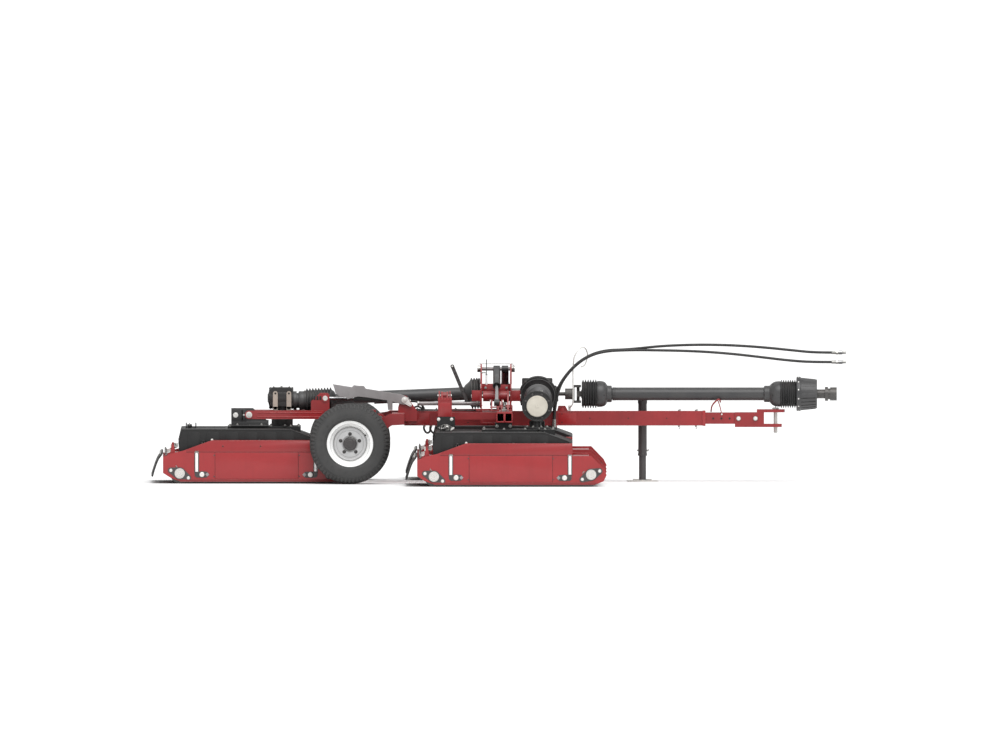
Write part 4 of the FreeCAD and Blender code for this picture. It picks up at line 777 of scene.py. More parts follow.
        # lower pivot bolts on their plates, lozenge indicators
        for bx, bz, x0, x1, lx in ((-410, 66, -441, -384, -371), (382, 64.5, 352, 413, 338)):
            prism(dk.m("jack_grey"), slotpts(x0, bz, x1, bz, 22), 637, 639.6, .8)
            zn.m("dark_steel").lathe([(0, 0), (24, 0), (24, 1.2), (23, 1.8), (0, 1.8)], P(bx, 639.2, bz), D, 32)
            zn.m("white_zinc").lathe([(0, 0), (17.8, 0), (17.8, 1.6), (15.6, 3.2), (10.5, 3.6), (9.6, 2.6), (0, 2.5)], P(bx, 640.9, bz), D, 28)
            zn.m("zinc")
            prism(gr, [(lx - 15, bz), (lx, bz + 15), (lx + 15, bz), (lx, bz - 15)], 637.2, 640.9, .8)
        if tag == "rear":
            for bx in (-257, 18):
                # dark discs: painted shade inside the two holes
                dk.m("painted_recess_shade").lathe([(0, 0), (5.5, 0), (5.5, .8), (0, .8)], P(bx, 638.0, 272), D, 20)
                red.ring(P(bx, 638.0, 272), D, 7.5, 3, .9, 24)
        for bx in (-312, 292):
            for bz in (52, 206):
                dk.m("jack_grey").dome(P(bx + (-9 if bx < 0 else 9), 636.9, bz), D, 5, 2.0, 14)
        # weld beads along the side plate rims
        wr.weld(P(-560, 632, 206), P(-60, 632, 206))
        wr.weld(P(60, 626, 206), P(555, 626, 206))
    red.done(tag + "_side_pressings", body, "red_paint")
    dk.done(tag + "_side_plates_dark", body, "black_paint")
    zn.done(tag + "_side_fasteners", body, "zinc")
    gr.done(tag + "_side_lozenges", body, "grey_paint")

    # front lip, stiffener bars and roof hardware
    k = Mk().m("red_enamel")
    k.box(xc + 484.5, xc + 493.5, yc - 626, yc + 626, 100.5, 112, 2)
    k.box(xc - 612, xc - 596, yc - 626, yc + 626, 205, 215, 1.5)
    for i in range(7):
        y = yc - 540 + 180 * i
        k.plate([(xc + 492, 200), (xc + 492, 128), (xc + 500, 128), (xc + 556, 200)], "XZ", y - 3, y + 3, .8)
    for y in (-604, 604):
        k.box(xc + 440, xc + 556, yc + y - 5, yc + y + 5, 210.5, 222, 1.5)
    k.done(tag + "_deck_front_bars", body, "red_paint")
    k = wr
    for y in (-3, 3):
        for i in range(7):
            yy = yc - 540 + 180 * i
            k.weld((xc + 493, yy + y * 1.3, 130), (xc + 493, yy + y * 1.3, 198), 2.4)
    k.weld((xc - 598, yc - 620, 206), (xc - 598, yc + 620, 206), 2.6)
    k.done(tag + "_deck_welds", body, "red_paint")

    # rubber flap, its clamp bar and hangers at the back
    k = Mk().m("rubber_flap")
    mid = catmull([(-697, 0, 226), (-708, 0, 206), (-729, 0, 176), (-748, 0, 130), (-763, 0, 84), (-773, 0, 50)], 9)
    nx = []
    for i, p in enumerate(mid):
        a, c = mid[max(0, i - 1)], mid[min(len(mid) - 1, i + 1)]
        t = (c - a).normalized()
        nx.append(Vector((-t.z, 0, t.x)))
    prof = [mid[i] + nx[i] * 5.2 for i in range(len(mid))] + [mid[i] - nx[i] * 5.2 for i in range(len(mid))][::-1]
    ny = 44
    vs, fs = [], []
    for j in range(ny + 1):
        y = -627 + 1254 * j / ny
        wob = 1.2 * math.sin(j * 0.71) + 0.8 * math.sin(j * 1.93 + 1)
        for i, q in enumerate(prof):
            depth = max(0.0, (190 - q.z) / 150)
            vs.append(Vector((xc + q.x + wob * depth, yc + y, q.z)))
    m = len(prof)
    for j in range(ny):
        for i in range(m):
            fs.append([j * m + i, j * m + (i + 1) % m, (j + 1) * m + (i + 1) % m, (j + 1) * m + i])
    fs.append(list(range(m))[::-1])
    fs.append([ny * m + i for i in range(m)])
    k.add(vs, fs)
    o = k.done(tag + "_rubber_flap", body, "rubber", 40)
    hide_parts(tag + "_rear_flap")
    z_, r_, b_ = Mk().m("zinc"), Mk().m("red_enamel"), Mk().m("jack_grey")
    b_.box(xc - 710, xc - 703, yc - 622, yc + 622, 203, 226, 1.2)
    for i in range(6):
        y = yc - 575 + 230 * i
        z_.bolt((xc - 710, y, 215), -X, 13, 5, 10, 1.6)
    for y in (-585, -195, 195, 585):
        yy = yc + y
        # upright red lug with a spring-loaded carriage bolt
        r_.plate(rounded([(xc - 660, 197), (xc - 606, 197), (xc - 606, 222), (xc - 613, 278), (xc - 629, 278), (xc - 640, 228), (xc - 660, 216)], 5), "XZ", yy - 4, yy + 4, 1)
        r_.box(xc - 694, xc - 640, yy - 18, yy + 18, 197, 203, 1.5)
        z_.cyl((xc - 632, yy + 13, 262), (xc - 585, yy + 13, 268), 4.2, .8, 14)
        z_.spring((xc - 624, yy + 13, 263), (xc - 597, yy + 13, 266.6), 7.4, 1.7, 6)
        z_.hexa((xc - 634, yy + 13, 261.7), (-1, 0, -.12), 13, 6)
        z_.cyl((xc - 670, yy - 10, 203), (xc - 676, yy - 10, 244), 4.0, .8, 14)
        z_.spring((xc - 671, yy - 10, 208), (xc - 675, yy - 10, 236), 7.2, 1.6, 6)
        z_.hexa((xc - 676, yy - 10, 238), Z, 12, 6)
        z_.m("white_zinc").obox((xc - 655, yy + 9, 226), (21, 0, 7), (0, 2, 0), (-1.4, 0, 4.4), 1)
        z_.m("zinc")
    z_.done(tag + "_flap_fasteners", body, "zinc")
    r_.done(tag + "_flap_lugs", body, "red_paint")
    b_.done(tag + "_flap_clamp", body, "black_paint")

    # belt cover: rolled rims, pressed ribs, flange bolts, hold-down knobs and latches
    k, z_ = Mk().m("black_cover"), Mk().m("zinc")
    outl = [(-570, 212), (-578, 300), (-556, 392), (236, 392), (436, 318), (436, 212)]
    edge = rounded([(a, b, 10) for a, b in outl], 10, 5)
    for sg in (-1, 1):
        pts = [Vector((xc + a, yc + sg * 573.2, b)) for a, b in edge]
        k.sweep(pts[2:-2], 4.2, 8)
        k.box(xc - 566, xc + 432, yc + sg * 572, yc + sg * 592, 211.5, 216, 1.5)
        for bx in (-530, -330, -130, 70, 250, 410):
            z_.bolt((xc + bx, yc + sg * 584, 216), Z, 11, 5, 9, 1.4)
        # pressed ribs on the side
        for rx in (-470, -330, -190, -50, 90, 220):
            k.plate([(xc + a, b) for a, b in rounded([(rx - 46, 240), (rx + 46, 240), (rx + 46, 372), (rx - 46, 372)], 16, 5)], "XZ", yc + sg * 574.4, yc + sg * 577.2, 1.6)
        # rubber over-centre latch
        for lx in (-400, 160):
            z_.plate([(xc + a, b) for a, b in rounded([(lx - 14, 222), (lx + 14, 222), (lx + 14, 262), (lx - 14, 262)], 4)], "XZ", yc + sg * 576, yc + sg * 579.5, 1)
            z_.rod([(xc + lx - 8, yc + sg * 580, 258), (xc + lx - 8, yc + sg * 582, 300), (xc + lx, yc + sg * 582, 308), (xc + lx + 8, yc + sg * 582, 300), (xc + lx + 8, yc + sg * 580, 258)], 2, 8, 8)
            k.box(xc + lx - 13, xc + lx + 13, yc + sg * 574, yc + sg * 584, 300, 318, 3)
    for x0, x1 in ((-560, -552), (428, 436)):
        pass
    k.rod([(xc - 556, yc - 573, 393), (xc - 556, yc, 393), (xc - 556, yc + 573, 393)], 4, 8, 60)
    k.rod([(xc + 236, yc - 573, 392), (xc + 236, yc, 392), (xc + 236, yc + 573, 392)], 4, 8, 60)
    # pressed panels on the lid, clear of the bridge and feet
    for y0, y1 in ((-540, -400), (-380, -250), (250, 380), (400, 540)):
        for x0, x1 in ((-520, -240), (-215, 215)):
            if tag != "rear" and (y0 < -55 or y1 > 55) and False:
                continue
            k.plate(rounded([(xc + x0, yc + y0), (xc + x1, yc + y0), (xc + x1, yc + y1), (xc + x0, yc + y1)], 16, 5), "XY", 390.5, 395.4, 2.2)
    for y0, y1 in ((-540, -280), (-250, 250), (280, 540)):
        a, c = Vector((xc + 262, 0, 386.8)), Vector((xc + 410, 0, 332))
        mx, dx = (a + c) / 2, (c - a) / 2
        nrm_ = Vector((-dx.z, 0, dx.x)).normalized()
        k.obox(Vector((mx.x, yc + (y0 + y1) / 2, mx.z)) + nrm_ * (-3.0), dx * .82, Vector((0, (y1 - y0) / 2, 0)), nrm_ * 3.0, 2.0)
    # rounded knobs with studs
    for kx, ky in ((-500, -210), (-500, 210), (196, -300), (196, 300)):
        k.lathe([(0, 0), (17, 0), (19, 3), (13, 6), (12, 12), (18, 15), (19, 21), (15, 25), (0, 26)], (xc + kx, yc + ky, 392), Z, 24)
        z_.cyl((xc + kx, yc + ky, 416), (xc + kx, yc + ky, 424), 4.5, .8, 12)
    # rear and front vents on the cover ends
    for i in range(9):
        y = yc - 440 + 110 * i
        k.obox((xc + 434.4, y, 262), (2.6, 0, 0), (0, 38, 0), (0, 0, 8), 1.6)
        k.obox((xc + 434.4, y, 286), (2.6, 0, 0), (0, 38, 0), (0, 0, 8), 1.6)
        k.obox((xc - 575.3, y, 262), (2.6, 0, .2), (0, 38, 0), (-.7, 0, 8), 1.6)
    # bridge rails, bolts along its rims
    for bx in (-205, -60, 95, 240, 296):
        for sg in (-1, 1):
            z_.bolt((xc + bx, yc + sg * 214, 410), Z, 14, 7, 12, 2) if not (tag != "rear" and abs(yc + sg * 214) > 1120 and abs(yc + sg * 214) < 1290 and -30 < xc + bx < 170) else None
    k.done(tag + "_cover_pressings", body, "black_paint")
    z_.done(tag + "_cover_fasteners", body, "zinc")

    # under the deck: spindle bolts, baffle rims
    k = Mk().m("dark_steel")
    for sx, sy in ((115, 300 * s), (-115, -300 * s)):
        for i in range(6):
            a = math.pi / 3 * i + .2
            k.bolt((xc + sx + 66 * math.cos(a), yc + sy + 66 * math.sin(a), 205), -Z, 13, 8, 11, 2)
    k.m("red_enamel")
    k.box(xc + 480, xc + 486.5, yc - 600, yc + 600, 100, 118, 2)
    k.done(tag + "_spindle_bolts", body, "black_steel")
    # blade clamps on each blade
    for e, sx, sy in (("front", 115, 300 * s), ("rear", -115, -300 * s)):
        k = Mk().m("dark_steel")
        k.hexa((xc + sx, yc + sy, 58.5), -Z, 36, 20, 2.5)
        k.cyl((xc + sx, yc + sy, 59), (xc + sx, yc + sy, 52), 34, 2, 32)
        for sg in (-1, 1):
            # turned-up sail at the trailing edge of each tip
            k.m("blade_steel").plate([(yc + sy + sg * 210 + 0, 68), (yc + sy + sg * 210, 69)] and
                                     [(xc + sx - sg * 38, 66), (xc + sx - sg * 30, 66), (xc + sx - sg * 36, 84), (xc + sx - sg * 41, 84)], "XZ", yc + sy + sg * 205, yc + sy + sg * 296, .6)
            k.m("dark_steel")
        k.done("%s_blade_clamp_%s" % (tag, e), "%s_%s_blade" % (tag, e), "black_steel")
    # rollers: end discs and weld rings
    for e, rx, rz in (("rear", -572, 74), ("front", 576, 88)):
        k = Mk().m("dark_steel")
        for sg in (-1, 1):
            k.ring((xc + rx, yc + sg * 617.5, rz), (0, sg, 0), 62, 14, 3, 48)
            k.ring((xc + rx, yc + sg * 617.5, rz), (0, sg, 0), 26, 10, 3, 32)
        for i in range(6):
            k.ring((xc + rx, yc - 500 + 200 * i, rz), Y, 71.2, 1.6, 5, 56)
        k.done("%s_roller_rings_%s" % (tag, e), "%s_%s_roller" % (tag, e), "black_steel")
# ------------------------------------------------------------------ wheels
def tyre(tag, sg, body):
    o = Vector((-1051, 820 * sg, 295))
    N = 60
    st = [0, .03, .12, .15, .50, .53, .60, .65]
    ang = [2 * math.pi * (i + f) / N for i in range(N) for f in st]
    ph = [f for i in range(N) for f in st]
    # outer profile: t across, r outwards, row code for the block pattern
    half = [(0, 294.6, "c"), (13, 294.5, "c"), (14.5, 294.4, "g"), (17.5, 294.3, "g"), (19, 294.2, "a"), (42, 293.4, "a"), (43.5, 293.3, "g"), (46.5, 293.2, "g"),
            (48, 293.0, "c"), (72, 290.5, "c"), (74, 290.2, "g"), (78, 289.4, "g"), (80, 289.0, "a"), (96, 284.6, "a"), (106, 279.0, "a"), (114, 272.5, "a"),
            (119, 266.5, "a"), (121.5, 262.5, "a"), (122.0, 262.0, "n"), (124.0, 258.0, "n"), (125.2, 255.5, "s"), (127.2, 249.5, "s"), (127.6, 248.5, "n"),
            (130.4, 238, "n"), (132.2, 226, "n"), (132.8, 214, "n"), (132.2, 202, "n"), (130.0, 192, "n"), (129.0, 190.6, "r"), (128.8, 188.4, "r"), (127.4, 187.0, "n"),
            (124.0, 178.5, "n"), (119.5, 173.4, "n"), (113.5, 170.6, "n")]
    prof = [(-t, r, c) for t, r, c in half[:0:-1]] + half
    verts, faces = [], []
    for a, f in zip(ang, ph):
        ca, sa = math.cos(a), math.sin(a)
        for t, r, c in prof:
            lug = (.03 <= f <= .53) if c != "a" else not (.12 <= f <= .53)
            if c == "a":
                lug = f >= .60 or f <= .12
                lug = f >= .65 or f <= .12 or f == .60
            d = 0.0
            if c in "ca":
                d = 0 if lug else -7.5
                if c == "a" and not lug and r < 280:
                    d = -6.0
            elif c == "g":
                d = -7.5
            elif c == "s":
                d = 0.8 if (f in (.03, .12, .53, .60)) else -2.2
            elif c == "n" and 250 < r < 263:
                d = -2.2
            elif c == "r":
                d = 1.2
            rr = r + d * (1.0 if abs(t) < 108 else .55)
            tt = t - (math.copysign(1, t) * (-d) * .8 if abs(t) >= 108 else 0)
            verts.append(o + Vector((rr * ca, tt, rr * sa)))
    n, m = len(ang), len(prof)
    for i in range(n):
        for j in range(m - 1):
            i2 = (i + 1) % n
            faces.append([i * m + j, i * m + j + 1, i2 * m + j + 1, i2 * m + j])
    k = Mk().m("tyre_rubber")
    k.add(verts, faces)
    # inside of the carcass and beads
    k.lathe([(170.6, -113.5), (166, -104), (168, -92), (190, -96), (245, -112), (270, -90), (278, -40), (278, 40), (270, 90), (245, 112), (190, 96), (168, 92), (166, 104), (170.6, 113.5)], o, Y, 72)
    # moulded size-free bars on the sidewall
    for q in (-1, 1):
        for i in range(24):
            a = 2 * math.pi * (i + .5) / 24
            c = o + Vector((209 * math.cos(a), q * 132.6, 209 * math.sin(a)))
            k.obox(c, Vector((math.cos(a), 0, math.sin(a))) * 5.5, Vector((0, .7, 0)), Vector((-math.sin(a), 0, math.cos(a))) * 1.6, .4)
    b = k.done(tag + "_tyre_tread", body, "tyre", 34)
    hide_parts(tag + "_tyre")
    # rim: rolled flanges, drop centre, dished disc, hub cap, wheel bolts
    w = Mk().m("white_enamel")
    T = sg
    def L(pr, k=w, seg=72, closed=False):
        k.lathe([(r, t * T) for r, t in pr], o, Y, seg, closed)
    L([(169.0, 111.5), (170.0, 108.5), (168.6, 104.5), (164.0, 103.5), (152.5, 100), (149.6, 92), (149.2, 66), (146, 58), (129, 50), (128, 20), (128, -20), (129, -50), (146, -58), (149.2, -66),
       (149.6, -92), (152.5, -100), (164.0, -103.5), (168.6, -104.5), (170.0, -108.5), (169.0, -111.5), (165.5, -112), (161, -108), (148.5, -103.5), (145.6, -94), (145.2, -70), (142, -62),
       (125.5, -54), (124.0, -46), (124.0, 46), (125.5, 54), (142, 62), (145.2, 70), (145.6, 94), (148.5, 103.5), (161, 108), (165.5, 112)], closed=True)
    g = Mk().m("grey_rim")
    # disc: dished plate with a raised ring
    dpr = [(124.2, 48), (123.4, 60), (119.5, 66), (117.0, 63.5), (112, 61.8), (104, 62.5), (92, 66), (84, 67.2), (60, 67.2), (57.5, 64.5), (53, 62.5), (36, 62.5),
           (36, 55), (52, 55), (60, 58.5), (84, 59.5), (92, 58), (104, 54.5), (114, 54), (119, 52)]
    g.lathe([(r, t * T) for r, t in dpr], o, Y, 72, closed=True)
    # dark grey rings on the disc's pressed steps: painted crease shade
    g.m("grey_crease_shade").lathe([(r, t * T) for r, t in [(117.4, 64.2), (119.2, 65.9), (119.6, 66.6), (117.2, 64.9)]], o, Y, 72, closed=True)
    g.m("grey_crease_shade").lathe([(r, t * T) for r, t in [(97.0, 64.8), (98.4, 64.4), (98.5, 65.1), (97.0, 65.5)]], o, Y, 72, closed=True)
    for i in range(5):
        a = math.pi / 2 + 2 * math.pi * i / 5
        c = o + Vector((72 * math.cos(a), 67.0 * T, 72 * math.sin(a)))
        g.m("jack_grey").lathe([(0, 0), (13.4, 0), (13.4, .6), (11.4, 1.4), (8.6, 1.2), (0, .6)], c, Y * T, 24)
        # near-black nuts: painted shade of the nut recesses
        g.m("painted_recess_shade").hexa(c + Y * T * .8, Y * T, 17, 9, 1.5)
        g.m("jack_grey").cyl(c + Y * T * 9, c + Y * T * 13, 5, .8, 14)
    g.m("jack_grey").lathe([(r, t * T) for r, t in [(49, 62.5), (50.5, 66), (49.5, 74), (47, 78), (42, 81), (30, 83), (26, 82), (24, 85), (12, 86.4), (0, 86.6)]], o, Y, 48)
    g.m("grey_rim")
    # rear face of the hub and a valve stem
    g.m("black_enamel").lathe([(r, t * T) for r, t in [(0, -36), (34, -36), (36, -34), (36, 20), (46, 26), (56, 30), (56, 50), (36, 54)]], o, Y, 40)
    g.m("rubber_flap").cyl(o + Vector((108, 64 * T, 60)), o + Vector((118, 84 * T, 64)), 4.6, 1, 14)
    g.m("cap_plate").cyl(o + Vector((118, 84 * T, 64)), o + Vector((120, 89 * T, 65)), 3.4, .8, 12)
    w.m("grey_rim")
    b = w.done(tag + "_rim_barrel", body, "white_paint", 30)
    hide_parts(tag + "_rim")
    g.done(tag + "_rim_disc", body, "white_paint", 30)


tyre("right", -1, "wheel_right")
tyre("left", 1, "wheel_left")

# ------------------------------------------------------------------ gearboxes
for tag, s, body in (("right", -1, "right_wing"), ("left", 1, "left_wing")):
    gx, gz = 315.0, 577.0
    D = Vector((0, s, 0))
    def at(x, y, z, s=s):
        return Vector((x, s * y, z))
    k = Mk().m("cast_iron")
    for i in range(8):
        a = 2 * math.pi * (i + .5) / 8
        k.m("jack_grey").bolt(at(gx + 92 * math.cos(a), 1261.6, gz + 92 * math.sin(a)), D, 12, 5, 9, 1.4)
    k.m("cast_iron").ring(at(gx, 1260.5, gz), D, 81.5, 9, 10, 64)
    # dark ring: painted shade in the gap at the flange rim
    k.m("painted_recess_shade").ring(at(gx, 1262.2, gz), D, 86.6, 1.6, .6, 64)
    # ribs lengthwise over the round housing
    k.m("cast_iron")
    for i in range(12):
        a = math.radians(15 + 30 * i)
        u = Vector((math.cos(a), 0, math.sin(a)))
        k.obox(at(gx, 1214, gz) + u * 108.5, u * 3.6, Vector((0, 38, 0)), Vector((-u.z, 0, u.x)) * 3.2, 1.4)
    for yy in (1172, 1256):
        k.ring(at(gx, yy - 5 if s > 0 else yy + 5, gz), D if s > 0 else D, 108, 8, 7, 64)
    # neck gussets and flange bolts
    for i in range(8):
        a = math.radians(22.5 + 45 * i)
        u = Vector((math.cos(a), math.sin(a), 0))
        c = at(gx, 1205, 0)
        k.obox(Vector((c.x, c.y, 447)) + u * 50, u * 9, Vector((-u.y, u.x, 0)) * 3.4, Vector((0, 0, 22)), 1.4)
        k.m("zinc").bolt(Vector((c.x, c.y, 424)) + u * 77, Z, 13, 7, 11, 1.8)
        k.m("cast_iron")
    k.ring((gx, s * 1205, 462), Z, 47, 9, 8, 40)
    # cover centre dimple and rings on the pale cap
    k.m("cream_cap").ring(at(gx, 1275.6, gz), D, 70, 5, 1.6, 56)
    k.lathe([(0, 0), (14, 0), (14, .5), (10, 1.1), (6, .7), (0, .5)], at(gx, 1275.8, gz), D, 32)
    # filler plug and breather
    k.m("jack_grey").hexa(at(gx - 40, 1225, gz + 98), (-.35, 0, 1), 22, 12, 2)
    k.m("zinc").cyl(at(gx + 30, 1190, gz + 100), at(gx + 33, 1190, gz + 116), 8, 1, 18)
    k.done(tag + "_gearbox_fittings", body, "black_steel")
    # input flange on the inboard side
    k = Mk().m("jack_grey")
    for i in range(6):
        a = math.pi / 3 * i
        k.bolt(at(gx + 62 * math.cos(a), 1168.5, gz + 62 * math.sin(a)), -D, 12, 6, 9, 1.5)
    k.done(tag + "_gearbox_inner_bolts", body, "black_steel")

# main gearbox on the beam
sx, sz = 321.0, 633.0
k = Mk().m("cast_iron")
for s in (-1, 1):
    D = Vector((0, s, 0))
    k.ring((sx, s * 94, sz), D, 128, 22, 17, 64)
    k.ring((sx, s * 94, sz), D, 133, 7, 19.5, 64)
    # rounded lobes at the upper corners with their bolts
    for bx in (231, 402):
        k.plate(rounded([(bx - 27, 700), (bx + 25, 700), (bx + 25, 757), (bx - 27, 757)], 9, 4), "XZ", s * 66, s * 104, 2.5)
        k.m("jack_grey").bolt((bx, s * 104, 730), D, 17, 8, 12, 2)
        k.m("cast_iron")
    for bx in (206, 436):
        k.plate(rounded([(bx - 12, 560), (bx + 12, 560), (bx + 12, 592), (bx - 12, 592)], 5, 3), "XZ", s * 70, s * 98, 2)
    k.obox((321, s * 118, 680), (68, 0, 0), (0, 7, 0), (0, 0, 3), 1.8)
# arched rib across the crown and top cover
arc = [(sx + 60 * math.cos(math.radians(a)), 706 + 44 * math.sin(math.radians(a))) for a in range(0, 181, 9)]
k.plate(arc, "XZ", -88, 88, 4)
k.plate(rounded([(212, 700), (430, 700), (430, 724), (212, 724)], 8), "XZ", -92, 92, 3)
for bx in (232, 275, 367, 410):
    for by in (-80, 80):
        k.m("jack_grey").bolt((bx, by, 724), Z, 13, 6, 10, 1.6)
        k.m("cast_iron")
k.m("zinc").cyl((321, 0, 748), (321, 0, 762), 9, 1.5, 20)
k.m("jack_grey").hexa((321, 40, 744), Z, 22, 10, 2)
k.m("cast_iron")
for i in range(5):
    k.box(250 + 35 * i, 256 + 35 * i, -97, 97, 560, 700, 2)
# front bearing carrier
for i in range(8):
    a = 2 * math.pi * (i + .5) / 8
    k.m("jack_grey").bolt((403, 46 * math.cos(a) * 1.55, 642 + 46 * math.sin(a) * 1.55), X, 13, 6, 10, 1.6)
k.m("cast_iron").ring((401, 0, 642), X, 68, 26, 6, 48)
for i in range(8):
    a = 2 * math.pi * i / 8
    u = Vector((0, math.cos(a), math.sin(a)))
    k.obox(Vector((430, 0, 642)) + u * 57, (24, 0, 0), Vector((0, -u.z, u.y)) * 3, u * 4, 1.2)
k.done("main_gearbox_fittings", "frame", "black_steel")
# foot plate and its bolts
k = Mk().m("zinc")
for bx in (262, 380):
    for s in (-1, 1):
        k.cyl((bx, s * 40, 519), (bx, s * 40, 524), 12, 1, 20)
k.done("main_gearbox_studs", "frame", "zinc")

# rear gearbox: rounded casing ribs, straps, bearing cap
gx0, gx1, gz = -1638.0, -1464.0, 612.0
k = Mk().m("cast_iron")
for s in (-1, 1):
    k.plate(rounded([(gx0 + 4, 552), (gx1 - 4, 552), (gx1 - 4, 684), (gx1 - 26, 690), (gx0 + 26, 690), (gx0 + 4, 684)], 14, 5), "XZ", s * 52, s * 74, 5)
    k.plate(rounded([(gx0 + 40, 606), (gx1 - 40, 606), (gx1 - 40, 652), (gx0 + 40, 652)], 6, 4), "XZ", s * 72, s * 77, 2)
for x in (gx0 + 2, gx1 - 12):
    k.ring((x, 0, gz), X, 74, 12, 10, 56)
for i in range(10):
    a = 2 * math.pi * (i + .5) / 10
    k.m("jack_grey").bolt((gx0 + 3, 70 * math.cos(a), gz + 70 * math.sin(a)), -X, 11, 5, 8.6, 1.4)
k.m("cast_iron").lathe([(0, 0), (52, 0), (50, 6), (34, 9), (30, 14), (0, 15)], (gx0, 0, gz), -X, 40)
for s in (-1, 1):
    for x in (gx0 + 30, gx1 - 30):
        k.m("jack_grey").bolt((x, s * 46, 688), Z, 12, 5, 9, 1.5)
k.m("zinc").cyl((-1551, 0, 688), (-1551, 0, 700), 8, 1.2, 18)
k.done("rear_gearbox_fittings", "rear_section", "black_steel")
k = Mk().m("strap_buff")
h = Mk().m("painted_recess_shade")
for x in (-1596, -1497):
    for s in (-1, 1):
        o_ = hull_plate([(x, 646, 17.5), (x, 548, 17.5)])
        k.plate(o_, "XZ", s * 78.5, s * 83.5, 1.2)
        k.box(x - 17.5, x + 17.5, s * 60 if s > 0 else -83.5, s * 83.5 if s > 0 else -60, 522, 530, 1.5)
        k.box(x - 17.5, x + 17.5, s * 78.5 if s > 0 else -83.5, s * 83.5 if s > 0 else -78.5, 524, 552, 1.5)
        # dark discs: painted shade inside the strap holes
        h.lathe([(0, 0), (7.5, 0), (7.5, .5), (0, .5)], (x, s * 83.4, 647), (0, s, 0), 24)
k.done("rear_gearbox_straps", "rear_section", "zinc")
h.done("rear_gearbox_strap_holes", "rear_section", "black_steel")

# ------------------------------------------------------------------ rear arm, saddle, bracket
rd, bk, zn = Mk().m("red_enamel"), Mk().m("black_enamel"), Mk().m("zinc")
for s in (-1, 1):
    D = Vector((0, s, 0))
    # long cheek in front of the saddle, round nose at its pin, two pressed ridges
    nose = [(-1788 + 31 * math.cos(math.radians(a)), 493 + 31 * math.sin(math.radians(a))) for a in range(90, 271, 10)]
    cheek = nose + [(-1240, 462), (-1240, 524)]
    rd.plate(cheek, "XZ", s * 205.2, s * 209.4, 1.2)
    for z0 in (477, 508):
        rd.obox((-1490, s * 209.6, z0), (238, 0, 0), (0, 1.4, 0), (0, 0, 3.6), 1.2)
    zn.m("white_zinc").lathe([(0, 0), (23, 0), (23, 1.0), (21.5, 1.8), (16, 1.8), (15.4, 1.1), (0, 1.1)], (-1788, s * 216, 493), D, 32)
    zn.m("cap_plate").lathe([(0, 0), (13.4, 0), (13.4, 3.2), (11.8, 4.4), (0, 4.4)], (-1788, s * 216.6, 493), D, 28)
    zn.m("zinc")
    # black saddle side: upright plate with a flange, screws and foot bolts
    bk.plate(rounded([(-1918, 444), (-1806, 444), (-1806, 535), (-1918, 535)], 3), "XZ", s * 203.4, s * 207, 1)
    bk.box(-1918.6, -1644.4, s * 186 if s > 0 else -250.6, s * 250.6 if s > 0 else -186, 409.4, 418.9, 1.5)
    bk.plate([(-1918, 416), (-1645, 416), (-1645, 448), (-1918, 448)], "XZ", s * 203.4, s * 206.4, 1)
    zn.m("white_zinc").lathe([(0, 0), (19, 0), (19, 1.2), (17, 2.6), (0, 3)], (-1886, s * 207, 491), D, 28)
    zn.lathe([(0, 0), (6, 0), (6, 1), (4.6, 1.8), (0, 2)], (-1826, s * 207, 492), D, 18)
    zn.m("zinc")
    for bx in (-1873, -1697):
        zn.bolt((bx, s * 226, 418.8), Z, 15, 8, 12, 2)
    for bx, bz, r in ((-1838, 506, 5), (-1838, 470, 5)):
        bk.m("jack_grey").box(bx - 4, bx + 4, s * 206 if s > 0 else -209, s * 209 if s > 0 else -206, 452, 530, 1.2)
        bk.m("black_enamel")
rd.weld((-1240, -209, 462), (-1240, -209, 524), 3)
rd.weld((-1240, 209, 462), (-1240, 209, 524), 3)
rd.done("rear_arm_cheeks", "rear_section", "red_paint")
bk.done("rear_saddle_plates", "rear_section", "black_paint")
zn.done("rear_saddle_fasteners", "rear_section", "zinc")

# cylinder bracket: slots as dark plates of painted shade, pin and rims
rd, zn, dk = Mk().m("red_enamel"), Mk().m("zinc"), Mk().m("painted_recess_shade")
for y, d in ((-196, -1), (-124, 1)):
    for i in range(3):
        dk.plate(rounded([(-1317 + 21 * i, 601), (-1302 + 21 * i, 601), (-1302 + 21 * i, 630), (-1317 + 21 * i, 630)], 3), "XZ", y + d * .2, y + d * .9, .2)
    zn.m("white_zinc").lathe([(0, 0), (18.5, 0), (18.5, 3), (16.5, 5), (8, 5), (7, 3.5), (0, 3.5)], (-1232, y + 6 * d, 614), (0, d, 0), 28)
zn.m("zinc")
rd.weld((-1336, -191, 530), (-1201, -191, 530), 3)
dk.done("rear_bracket_slots", "rear_section", "black_steel")
zn.done("rear_bracket_pin_caps", "rear_section", "zinc")
rd.done("rear_bracket_welds", "rear_section", "red_paint")
# ------------------------------------------------------------------ tower, beam, tongue
zn, ch, bk, rd = Mk().m("zinc"), Mk().m("bar_steel"), Mk().m("jack_grey"), Mk().m("red_frame")
